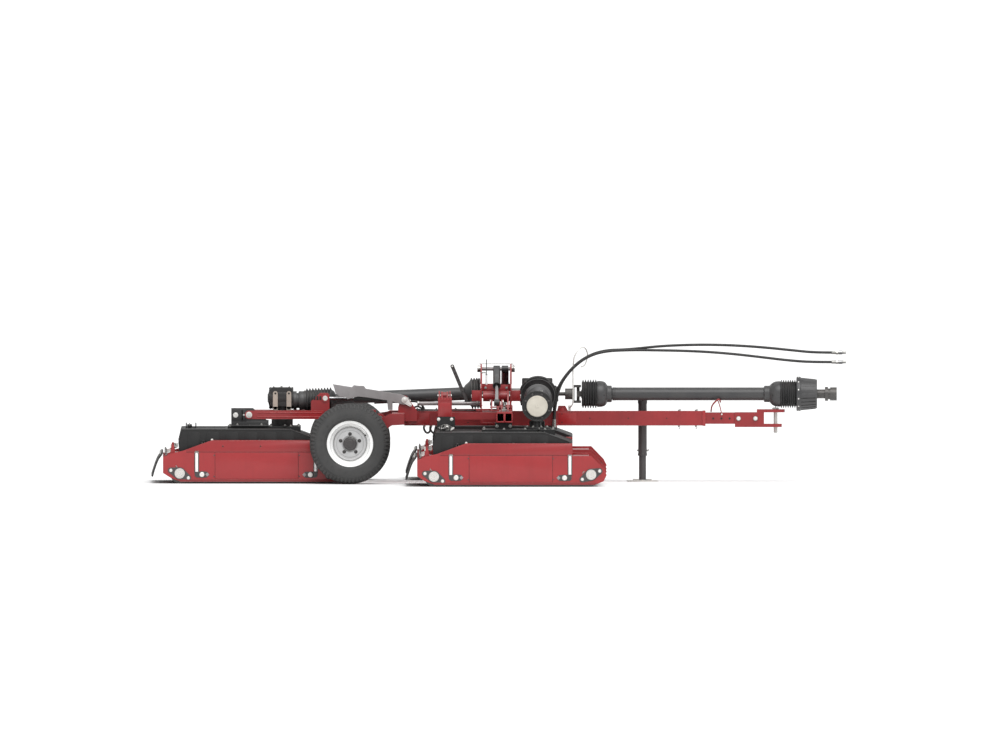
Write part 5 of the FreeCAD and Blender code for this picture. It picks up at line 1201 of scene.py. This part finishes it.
# stay rod through the plate tops, hanging indicator rod, pin, nuts, wire clip
zn.m("zinc").cyl((-98, 0, 862), (128, 0, 862), 2.8, .8, 14)
zn.m("zinc").cyl((-106, 0, 862), (-98, 0, 862), 5, 1, 14)
zn.cyl((128, 0, 862), (135, 0, 862), 5, 1, 14)
zn.m("dark_steel").cyl((-55, -170, 690), (-55, -170, 897), 3.4, .8, 14)
zn.m("white_enamel").cyl((-55, -170, 655), (-55, -170, 782), 7.2, 1.2, 18)
zn.m("zinc").hexa((-55, -170, 783), Z, 15, 9)
zn.hexa((-55, -170, 650), Z, 16, 8)
zn.cyl((-55, -170, 640), (-55, -170, 655), 4, .8, 14)
zn.obox((-74, -170, 800), (22, 0, 0), (0, 3, 0), (0, 0, 4), 1)
ch.cyl((-30, -206, 635), (116, -206, 635), 7.2, 1.2, 22)
for x in (-26, 112):
    zn.m("white_zinc").lathe([(0, 0), (15, 0), (15, 3), (12, 5), (0, 5)], (x, -212, 634), (0, -1, 0), 24)
    zn.m("zinc").hexa((x, -217, 634), (0, -1, 0), 19, 8, 1.5)
    zn.m("dark_steel").cyl((x, -206, 596), (x, -206, 634), 5.5, 1, 14)
    rd.obox((x, -204, 604), (13, 0, 0), (0, 8, 0), (0, 0, 10), 2)
# wire loop clip on the front plate
zn.m("zinc").rod([(131, -40, 812), (139, -44, 822), (144, -46, 836), (143, -44, 852), (134, -40, 862), (128.5, -38, 858)], 2.2, 8, 4)
zn.rod([(131, -40, 812), (130, -20, 806), (130, 10, 806)], 2.2, 8, 4)
# clamps of the cross bar
for x in (-99, 129):
    zn.ring((x if x > 0 else x - 3, 0, 825), X, 18, 8, 3.0, 32)
tw = Mk().m("red_frame")
# folded rims and gussets of the tower plates
for x0, x1 in ((-98.6, -87.4), (117.4, 128.6)):
    for s in (-1, 1):
        tw.obox(((x0 + x1) / 2, s * 96, 760), ((x1 - x0) / 2 + 1.5, 0, 0), (0, 3.5, 0), (0, 0, 44), 1.5)
for s in (-1, 1):
    for x0, x1 in ((-162, -98), (128, 192)):
        tw.obox(((x0 + x1) / 2, s * 278.5, 634), ((x1 - x0) / 2 - 6, 0, 0), (0, 2.2, 0), (0, 0, 32), 1.6)
        xx = -162.5 if x0 < 0 else 192.5
        zn.m("white_zinc").lathe([(0, 0), (13, 0), (13, 3), (10, 5), (0, 5)], (xx, s * 240, 630), (-1 if x0 < 0 else 1, 0, 0), 22)
    zn.m("zinc")
tw.weld((-98, -200, 596), (-98, -200, 672), 3)
tw.weld((128, -200, 596), (128, -200, 672), 3)
tw.weld((-87, -70, 560), (-87, 70, 560), 3)
tw.weld((117, -70, 560), (117, 70, 560), 3)
zn.done("tower_fasteners", "frame", "zinc")
ch.done("tower_cross_pin", "frame", "chrome")
rd.done("tower_pin_blocks", "frame", "red_paint")
tw.done("tower_rims", "frame", "red_paint")

# closing plates in the ends of the tower's low boxes
k = Mk().m("red_frame")
for s in (-1, 1):
    k.box(-80.5, 110.5, min(s * 268, s * 273.5), max(s * 268, s * 273.5), 437.5, 507.5, 1)
    k.weld((-80, s * 274, 438), (110, s * 274, 438), 3)
    k.weld((-80, s * 274, 507), (110, s * 274, 507), 3)
k.done("tower_box_ends", "frame", "red_paint")

# web plates between the portals, over the fold tubes and under the lift cylinders
k, zn = Mk().m("red_enamel"), Mk().m("zinc")
for s in (-1, 1):
    k.box(-87.5, 117.5, min(s * 190, s * 196), max(s * 190, s * 196), 666, 713, 1)
    k.box(-87.5, 117.5, min(s * 180, s * 196), max(s * 180, s * 196), 664, 670, 1)
    for x in (-87, 117):
        k.weld((x, s * 196.5, 668), (x, s * 196.5, 711), 3)
    for x in (-62, 92):
        zn.bolt((x, s * 196, 690), (0, s, 0), 13, 6, 10, 1.5)
k.done("tower_webs", "frame", "red_paint")
zn.done("tower_web_bolts", "frame", "zinc")

# black hand lever with a row of holes drawn as dark discs of painted shade, and an eye
k, h = Mk().m("jack_grey"), Mk().m("painted_recess_shade")
a, b = Vector((-198, -150, 590)), Vector((-304, -150, 846))
d = (b - a).normalized()
k.obox((a + b) / 2, d * ((b - a).length / 2), Vector((0, 3.4, 0)), Vector((d.z, 0, -d.x)) * 11.5, 1.6)
k.ring((b.x, -153.4, b.z), Y, 10, 9, 6.8, 28)
for i in range(6):
    c = a.lerp(b, .28 + .105 * i)
    h.lathe([(0, 0), (5, 0), (5, .4), (0, .4)], (c.x, -153.3, c.z), (0, -1, 0), 16)
k.m("white_zinc").lathe([(0, 0), (6.4, 0), (6.4, 1.2), (4.8, 1.8), (0, .8)], (b.x, -156.2, b.z), (0, -1, 0), 22)
k.m("jack_grey")
k.obox((-196, -148, 576), (22, 0, 0), (0, 8, 0), (0, 0, 15), 3)
k.done("park_lever", "frame", "black_paint")
h.done("park_lever_holes", "frame", "black_steel")

# tie rod between the beam stops
ch, zn = Mk().m("bar_steel"), Mk().m("zinc")
ch.cyl((-555, -146, 575), (-99, -146, 575), 14.5, 1.5, 28)
zn.cyl((-560, -146, 575), (-545, -146, 575), 18, 2, 20)
zn.hexa((-116, -146, 575), (-1, 0, 0), 38, 14, 2)
ch.done("tie_rod", "frame", "chrome")
zn.done("tie_rod_nuts", "frame", "zinc")

# beam: seams, cover plates, bolts, small holes drawn as dark discs of painted shade, hydraulic pipes and clips
rd, zn, bk, hole_shade, bl = Mk().m("red_enamel"), Mk().m("zinc"), Mk().m("jack_grey"), Mk().m("painted_recess_shade"), Mk().m("hose_cover")
for s in (-1, 1):
    D = Vector((0, s, 0))
    rd.plate(rounded([(-640, 424), (-470, 424), (-470, 506), (-640, 506)], 5), "XZ", s * 54.8, s * 56.8, .8)
    rd.plate(rounded([(468, 424), (600, 424), (600, 506), (468, 506)], 5), "XZ", s * 54.8, s * 57.6, .8)
    rd.plate([(478, 506), (520, 506), (505, 545), (478, 530)], "XZ", s * 40, s * 46, 1)
    for x, z in ((-360, 500), (-300, 432), (-190, 498), (-190, 434), (496, 496), (496, 436), (700, 465), (980, 465), (1260, 465)):
        hole_shade.lathe([(0, 0), (4.5, 0), (4.5, .5), (0, .5)], (x, s * 57.4 if 468 < x < 600 else s * 54.9, z), D, 16)
    for x in (1350, 1474):
        zn.m("zinc").cyl((x, s * 34, 518), (x, s * 34, 527), 6.2, 1.5, 18)
        zn.rod([(x, s * 34, 525), (x + 9, s * 34, 533), (x + 12, s * 34, 523), (x + 4, s * 34, 520)], 1.8, 8, 4)
        zn.cyl((x, s * 34, 400), (x, s * 34, 412), 6.2, 1.5, 18)
        zn.rod([(x - 2, s * 34, 404), (x + 8, s * 34, 396), (x + 6, s * 34, 388), (x - 3, s * 34, 392)], 1.8, 8, 4)
    rd.plate(rounded([(1520, 410), (1544, 410), (1544, 520), (1520, 520)], 3), "XZ", s * 54.6, s * 58.5, 1)
rd.box(1531, 1543, -58, 58, 516, 521, 1.2)
rd.box(1531, 1543, -58, 58, 409, 414, 1.2)
for x0, x1 in ((-640, 200), (460, 1536)):
    for s in (-1, 1):
        rd.weld((x0, s * 55, 413.5), (x1, s * 55, 413.5), 2.0)
# steel pipes clipped along the beam top and side, far hose loops at the rear of the tower
for i, y in enumerate((-24, -2, 20)):
    bk.m("jack_grey").rod([(-600, y, 524 + 3 * i), (-400, y, 525), (-230, y, 525), (-130, y, 524)], 5.2, 10, 30)
for x in (-560, -420, -280):
    zn.m("zinc").box(x - 7, x + 7, -36, 34, 529, 533, 1)
    zn.bolt((x, -11, 533), Z, 10, 5, 8, 1.2)
# bulkhead fittings and hose elbows beside the beam
for x, y in ((-690 + 0, -60), ):
    zn.hexa((-662, y, 590), (1, 0, 0), 19, 16, 1.5)
    zn.m("cap_plate").cyl((-646, y, 590), (-622, y, 590), 8, 1, 18)
    zn.m("zinc").hexa((-622, y, 590), (1, 0, 0), 22, 14, 1.5)
bl.rod([(-606, -60, 590), (-560, -62, 585), (-522, -62, 556), (-510, -62, 530)], 8, 12, 6)
bl.rod([(-590, -60, 540), (-560, -66, 552), (-530, -64, 540), (-522, -62, 524)], 7, 12, 6)
# service loops hanging below the beam
bl.rod([(-508, -40, 414), (-512, -42, 392), (-500, -42, 366), (-484, -42, 358), (-470, -42, 368), (-462, -42, 396), (-458, -40, 414)], 7.5, 12, 6)
bl.rod([(-462, -20, 414), (-466, -22, 388), (-450, -22, 362), (-434, -22, 356), (-420, -22, 368), (-414, -22, 392), (-412, -20, 414)], 7.5, 12, 6)
for x, y in ((-508, -40), (-458, -40), (-462, -20), (-412, -20)):
    zn.m("zinc").hexa((x, y, 400), Z, 17, 12, 1.4)
rd.done("beam_plates", "frame", "red_paint")
zn.done("beam_fasteners", "frame", "zinc")
bk.done("beam_pipes", "frame", "black_paint")
hole_shade.done("beam_holes", "frame", "black_steel")
bl.done("beam_service_hoses", "frame", "hose")

# tongue: adjustment holes drawn as dark discs of painted shade, hitch bolts, weld beads
zn, rd, hole_shade = Mk().m("zinc"), Mk().m("red_frame"), Mk().m("painted_recess_shade")
for x in (1785, 1908):
    for s in (-1, 1):
        D = Vector((0, s, 0))
        zn.m("white_zinc").lathe([(0, 0), (13.5, 0), (13.5, 1.4), (11.6, 2.4), (0, 2.6)], (x, s * 59.4, 464), D, 28)
        rd.m("red_enamel").ring((x, s * 46, 464), D, 21, 8, 3, 32)
        rd.m("red_frame")
zn.m("zinc")
zn.m("cap_plate").cyl((2055, 0, 538), (2055, 0, 543), 22, 2, 28)
zn.m("zinc").rod([(2055, 0, 543), (2055, 12, 556), (2055, 0, 566), (2055, -12, 556), (2055, 0, 543)], 2.6, 8, 4)
zn.rod([(2055, -17, 366), (2055, 0, 366), (2055, 20, 366), (2059, 26, 374), (2055, 18, 381), (2050, 8, 376)], 2.0, 8, 4)
for s in (-1, 1):
    rd.weld((1965, s * 44, 434), (1965, s * 44, 496), 3)
    for x in (1600, 1660, 1720):
        hole_shade.lathe([(0, 0), (7, 0), (7, .5), (0, .5)], (x, s * 45.2, 464), (0, s, 0), 18)
zn.done("hitch_fasteners", "frame", "zinc")
rd.done("hitch_rings", "frame", "red_paint")
hole_shade.done("hitch_holes", "frame", "black_steel")

k, zn = Mk().m("jack_grey"), Mk().m("zinc")
jx, jy = 1084.0, 105.0

# ------------------------------------------------------------------ drive shaft guards
def ring_marks(k, o, d, r, n, rr, h, mat="zinc"):
    u, v, w = basis(d)
    for i in range(n):
        a = 2 * math.pi * i / n
        e = u * math.cos(a) + v * math.sin(a)
        k.m(mat).lathe([(0, 0), (rr, 0), (rr, h * .6), (rr * .7, h), (0, h)], Vector(o) + e * r, e, 14)


k = Mk().m("white_zinc")
for i in range(12):
    a = 2 * math.pi * i / 12
    e = Vector((0, math.cos(a), math.sin(a)))
    k.lathe([(0, 0), (5, 0), (5, 1.2), (3.4, 2.2), (0, 2.4)], Vector((794, 0, 642)) + e * 60, e, 14)
k.done("pto_guard_screws_rear", "frame", "zinc")
# chain hook under the drive shaft guard, retaining ball
rd, zn = Mk().m("red_frame"), Mk().m("white_zinc")
rd.rod([(1632, -50, 596), (1640, -52, 580), (1652, -52, 540), (1660, -50, 505)], 3.6, 10, 6)
zn.dome((1662, -49, 494), (0, -1, 0), 6.5, 5)
zn.done("hook_stud", "frame", "zinc")
rd.done("hook_leg", "frame", "red_paint")

# smooth guards over the shaft ends
k = Mk().m("bellows_rubber")
pr = [(84, 640), (93, 640)]
for i in range(6):
    c = 650 + 18.6 * i
    pr += [(89, c - 6.2), (97, c - 4.2), (105.2, c - 1.7), (106, c), (105.2, c + 1.7), (97, c + 4.2), (89, c + 6.2), (87.6, c + 9)]
pr += [(88, 753), (84, 752)]
k.lathe(pr, (0, 0, 642), X, 72, closed=True)
k.m("guard_plastic")
bell = [(88, 752), (93.5, 752), (95, 756), (95.2, 768), (94.6, 782), (92, 796), (87, 808), (79, 817), (70, 822.5), (64, 825), (61.5, 828), (61, 856), (59.5, 858.5), (53, 859), (47.5, 861),
        (41.5, 861.5), (41.5, 1498), (38, 1500), (38, 860), (56, 850), (57, 830), (72, 816), (84, 800), (88, 780)]
k.lathe(bell, (0, 0, 642), X, 72, closed=True)
for i in range(4):
    k.ring((864 + 7 * i, 0, 642), X, 48.4, 1.4, 3, 48)
o = k.done("pto_guard_rear_cone", "frame", "black_plastic", 30)
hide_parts("pto_guard_rear")
k = Mk().m("guard_plastic")
bell = [(43, 864), (47.5, 866), (47.5, 1968), (54, 1971), (60, 1974), (60.5, 2010), (63, 2014), (71, 2021), (80, 2031), (87, 2043), (91.5, 2058), (93, 2075), (93, 2090), (90, 2092),
        (87, 2078), (82, 2050), (66, 2024), (56, 2016), (54, 1980), (43, 1972)]
k.lathe(bell, (0, 0, 642), X, 72, closed=True)
k.m("bellows_rubber")
pr = [(84, 2090), (92.5, 2090)]
for i in range(7):
    c = 2098 + 16.4 * i
    pr += [(89, c - 5.4), (96, c - 3.8), (103.4, c - 1.5), (104, c), (103.4, c + 1.5), (96, c + 3.8), (89, c + 5.4), (87.6, c + 7.6)]
pr += [(93, 2210), (84, 2210)]
k.lathe(pr, (0, 0, 642), X, 72, closed=True)
k.m("guard_plastic")
cup = [(88, 2206), (118, 2207), (125, 2210), (126, 2214), (126, 2233), (124.5, 2237), (119.5, 2239), (118, 2244), (111.5, 2300), (105.6, 2354), (104, 2358), (99, 2358), (105, 2300), (112, 2242), (92, 2216)]
k.lathe(cup, (0, 0, 642), X, 80, closed=True)
for i in range(24):
    a = 2 * math.pi * i / 24
    e = Vector((0, math.cos(a), math.sin(a)))
    k.obox(Vector((2295, 0, 642)) + e * 111.6, Vector((52, 0, 0)) - e * 5.4, e.cross(X) * 1.6, e * 1.6, .8)
o = k.done("pto_guard_front_cone", "pto_guard", "black_plastic", 30)
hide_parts("pto_guard_front")
k = Mk()
for x, r, body in ((2223, 125.8, "f"),):
    for i in range(12):
        a = 2 * math.pi * (i + .5) / 12
        e = Vector((0, math.cos(a), math.sin(a)))
        k.m("white_zinc").lathe([(0, 0), (5.6, 0), (5.6, 1.4), (3.6, 2.6), (0, 2.8)], Vector((x, 0, 642)) + e * r, e, 16)
# dark discs: painted shade inside the holes of the front guard
for i in range(6):
    a = math.pi * i / 3 + .09
    e = Vector((0, -math.cos(a), -math.sin(a)))
    k.m("painted_recess_shade").lathe([(0, 0), (5, 0), (5, 1.0), (0, 1.0)], Vector((2036, 0, 642)) + e * 84.4, e, 16)
k.done("pto_guard_screws", "pto_guard", "zinc")
k = Mk()
# dark discs: painted shade inside the holes of the rear guard
for i in range(6):
    a = math.pi * i / 3 + .09
    e = Vector((0, -math.cos(a), -math.sin(a)))
    k.m("painted_recess_shade").lathe([(0, 0), (5, 0), (5, .9), (0, .9)], Vector((803, 0, 642)) + e * 89.6, e, 16)
k.done("pto_guard_hole_shades", "frame", "black_steel")

# jack: crank handle, collar, cross pins and foot ribs
jx, jy = 1084.0, 105.0
k, zn = Mk().m("jack_grey"), Mk().m("zinc")
k.ring((jx, jy, 570), Z, 31.5, 6, 22, 40)
k.ring((jx, jy, 190), Z, 31.2, 5, 16, 40)
k.lathe([(0, 0), (30, 0), (31, 4), (29, 12), (14, 20), (0, 21)], (jx, jy, 590), Z, 32)
k.lathe([(0, 0), (9, 0), (11.5, 6), (12.5, 20), (11.5, 36), (8, 44), (0, 46)], (jx, jy + 82, 614), Z, 24)
k.plate(rounded([(jx - 40, 428), (jx + 40, 428), (jx + 40, 502), (jx - 40, 502)], 5), "XZ", 52, 58, 1.2)
for z in (430, 498):
    for s in (-1, 1):
        zn.bolt((jx + s * 30, 57.5, z + (8 if z < 450 else -8)), Y, 12, 6, 9, 1.5)
zn.cyl((jx - 40, jy, 228), (jx - 31, jy, 228), 6, 1.2, 18)
zn.cyl((jx + 31, jy, 228), (jx + 40, jy, 228), 6, 1.2, 18)
zn.rod([(jx + 38, jy, 228), (jx + 46, jy + 6, 236), (jx + 46, jy + 18, 228), (jx + 38, jy + 12, 220)], 1.8, 8, 4)
k.done("jack_collars", "frame", "black_paint")
zn.done("jack_pin", "frame", "zinc")
k = Mk().m("jack_grey")
for i in range(4):
    a = math.pi / 4 + math.pi / 2 * i
    u = Vector((math.cos(a), math.sin(a), 0))
    k.m("foot_plate").obox(Vector((jx, jy, 12.6)) + u * 66, u * 28, Vector((-u.y, u.x, 0)) * 3, Vector((0, 0, 4.6)), 1.2)
k.ring((jx, jy, 9.4), Z, 27.5, 5, 4, 40)
k.done("jack_foot_ribs", "jack_foot", "black_paint")

# wing feet: plate bolts, swivel wings; twin tube caps, nut and washer plate
for tag, s, body in (("right", -1, "right_wing"), ("left", 1, "left_wing")):
    D = Vector((0, s, 0))
    zn, bk, rd = Mk().m("zinc"), Mk().m("jack_grey"), Mk().m("red_frame")
    for x in (-404, -309):
        zn.m("white_zinc").lathe([(0, 0), (12, 0), (12, 1.6), (9.5, 3.2), (0, 3.6)], (x, s * 1168, 479), D, 24)
    zn.m("zinc")
    # swivel: bow-tie wings with a domed centre in front of the ball
    bow = rounded([(-398, 425), (-372, 416), (-360, 402), (-326, 402), (-314, 416), (-290, 425), (-290, 411), (-312, 400), (-322, 393), (-364, 393), (-376, 400), (-398, 411)], 3, 3)
    zn.m("white_zinc").plate(bow, "XZ", s * 1229, s * 1236, 2)
    zn.m("zinc").plate(hull_plate([(-343, 418, 24)]), "XZ", s * 1228, s * 1238, 3)
    zn.lathe([(0, 0), (13, 0), (13, 3), (9, 6), (0, 7)], (-343, s * 1238, 420), D, 28)
    # dark disc: painted shade inside the centre hole
    zn.m("painted_recess_shade").lathe([(0, 0), (5, 0), (5, .8), (0, .8)], (-343, s * 1244.6, 420), D, 16)
    zn.m("zinc").cyl((-343, s * 1150, 420), (-343, s * 1230, 420), 9, 1, 20)
    # fluted top of the end bracket
    for i in range(5):
        x = -400 + 21 * i
        rd.m("red_enamel").lathe([(0, 0), (9, 0), (9, 10), (6, 13), (0, 13)], (x, s * 1147, 624), D, 20)
    rd.plate(rounded([(-405, 498), (-311, 498), (-319, 600), (-397, 600)], 8, 4), "XZ", s * 1157.5, s * 1161, 1.4)
    # caps over the twin tube ends: folded frames round the openings
    for x0, x1 in ((20, 74), (79, 133)):
        for (a0, a1, c0, c1) in ((x0 - 3, x1 + 3, 462 - 3, 468), (x0 - 3, x1 + 3, 523, 532), (x0 - 3, x0 + 5, 462, 529), (x1 - 5, x1 + 3, 462, 529)):
            rd.m("red_enamel").box(a0, a1, s * 1312 if s > 0 else -1323.5, s * 1323.5 if s > 0 else -1312, c0, c1, 2)
    zn.m("white_zinc").plate(rounded([(38, s * 1150), (108, s * 1150), (108, s * 1230), (38, s * 1230)], 6), "XY", 529.5, 535, 1.2)
    zn.m("zinc").hexa((74, s * 1190, 535), Z, 36, 20, 3)
    zn.cyl((74, s * 1190, 555), (74, s * 1190, 568), 10, 2, 20)
    for x in (44, 102):
        zn.bolt((x, s * 1160, 535), Z, 12, 6, 9, 1.4)
    # block bolts under the tubes
    for x in (22, 118):
        zn.bolt((x, s * 1271, 432), D, 15, 7, 12, 2)
    for q in (-1, 1):
        pass
    rd.weld((20, s * 1300, 460), (20, s * 700, 460), 2.4)
    rd.weld((133, s * 1300, 460), (133, s * 700, 460), 2.4)
    for y in (480, 700, 920, 1090):
        for x in (47, 106):
            # dark discs: painted shade inside the holes along the arm
            bk.m("painted_recess_shade").lathe([(0, 0), (6, 0), (6, .5), (0, .5)], (x, s * y, 529), Z, 18)
    bk.m("jack_grey")
    for y in (560, 820, 1040):
        # hydraulic pipe clips along the arm
        zn.m("zinc").box(70, 84, s * (y - 8) if s > 0 else -(y + 8), s * (y + 8) if s > 0 else -(y - 8), 529, 546, 1.5)
    bk.rod([(76, s * 420, 538), (76, s * 700, 538), (77, s * 1000, 538), (77, s * 1120, 538)], 6.2, 10, 60)
    zn.done(tag + "_arm_fasteners", body, "zinc")
    bk.done(tag + "_arm_pipe", body, "black_steel")
    rd.done(tag + "_arm_rims", body, "red_paint")

# pin keeper beside the transport latch
k = Mk().m("white_zinc")
k.plate(hull_plate([(-651, 602, 24), (-611, 566, 12)]), "XZ", -221, -215.4, 1.4)
k.bolt((-651, -221, 602), -Y, 24, 8, 17, 1.5)
k.bolt((-611, -221, 566), -Y, 10, 5, 7, 1.2)
k.done("latch_pin_keeper", "frame", "zinc")

# bell of the rear shaft closes towards the rear gearbox
F, Rr = Vector((-117, 0, 648)), Vector((-1416, 0, 594))
w = (Rr - F).normalized()
L = (Rr - F).length
k = Mk().m("guard_plastic")
k.lathe([(62, L - 34), (66, L - 34), (67.5, L - 28), (68, L + 4), (66, L + 8), (62, L + 8)], F, w, 56, closed=True)
k.ring(F + w * (L - 6), w, 68.4, 2.4, 5, 56)
k.done("rear_bell_end", "rear_driveline_rear", "black_plastic")
k = Mk().m("guard_plastic")
k.lathe([(50, -1441), (54, -1441), (56, -1439), (56, -1409), (54.5, -1407), (50, -1407)], (0, 0, 594), X, 56, closed=True)
k.done("rear_gearbox_spigot", "rear_section", "black_plastic")
cam = bpy.data.cameras.new("camera")
cam.type = "ORTHO"
cam.ortho_scale = 7.299
cam.clip_end = 2000
co = bpy.data.objects.new("camera", cam)
SC.collection.objects.link(co)
TILT = math.radians(1.12)
look = Vector((0, math.cos(TILT), -math.sin(TILT)))
co.location = Vector((0.0438, 0, 0.780)) - look * 130
co.rotation_mode = "QUATERNION"
co.rotation_quaternion = look.to_track_quat("-Z", "Y")
SC.camera = co

world = bpy.data.worlds.new("studio")
SC.world = world
world.use_nodes = True
world.node_tree.nodes["Background"].inputs[0].default_value = (1, 1, 1, 1)
world.node_tree.nodes["Background"].inputs[1].default_value = 0.72
sun = bpy.data.lights.new("soft_key", "SUN")
sun.energy = 2.3
sun.angle = math.radians(50)
so = bpy.data.objects.new("soft_key", sun)
SC.collection.objects.link(so)
so.rotation_mode = "QUATERNION"
so.rotation_quaternion = Vector((-0.18, 0.62, -1.0)).to_track_quat("-Z", "Y")

b = bmesh.new()
n = 96
ringv = [b.verts.new((600 * math.cos(2 * math.pi * i / n), 600 * math.sin(2 * math.pi * i / n), 0)) for i in range(n)]
b.faces.new(ringv)
me = bpy.data.meshes.new("studio_floor")
b.to_mesh(me); b.free()
me.materials.append(MATS["studio_floor"])
fl = bpy.data.objects.new("studio_floor", me)
SC.collection.objects.link(fl)
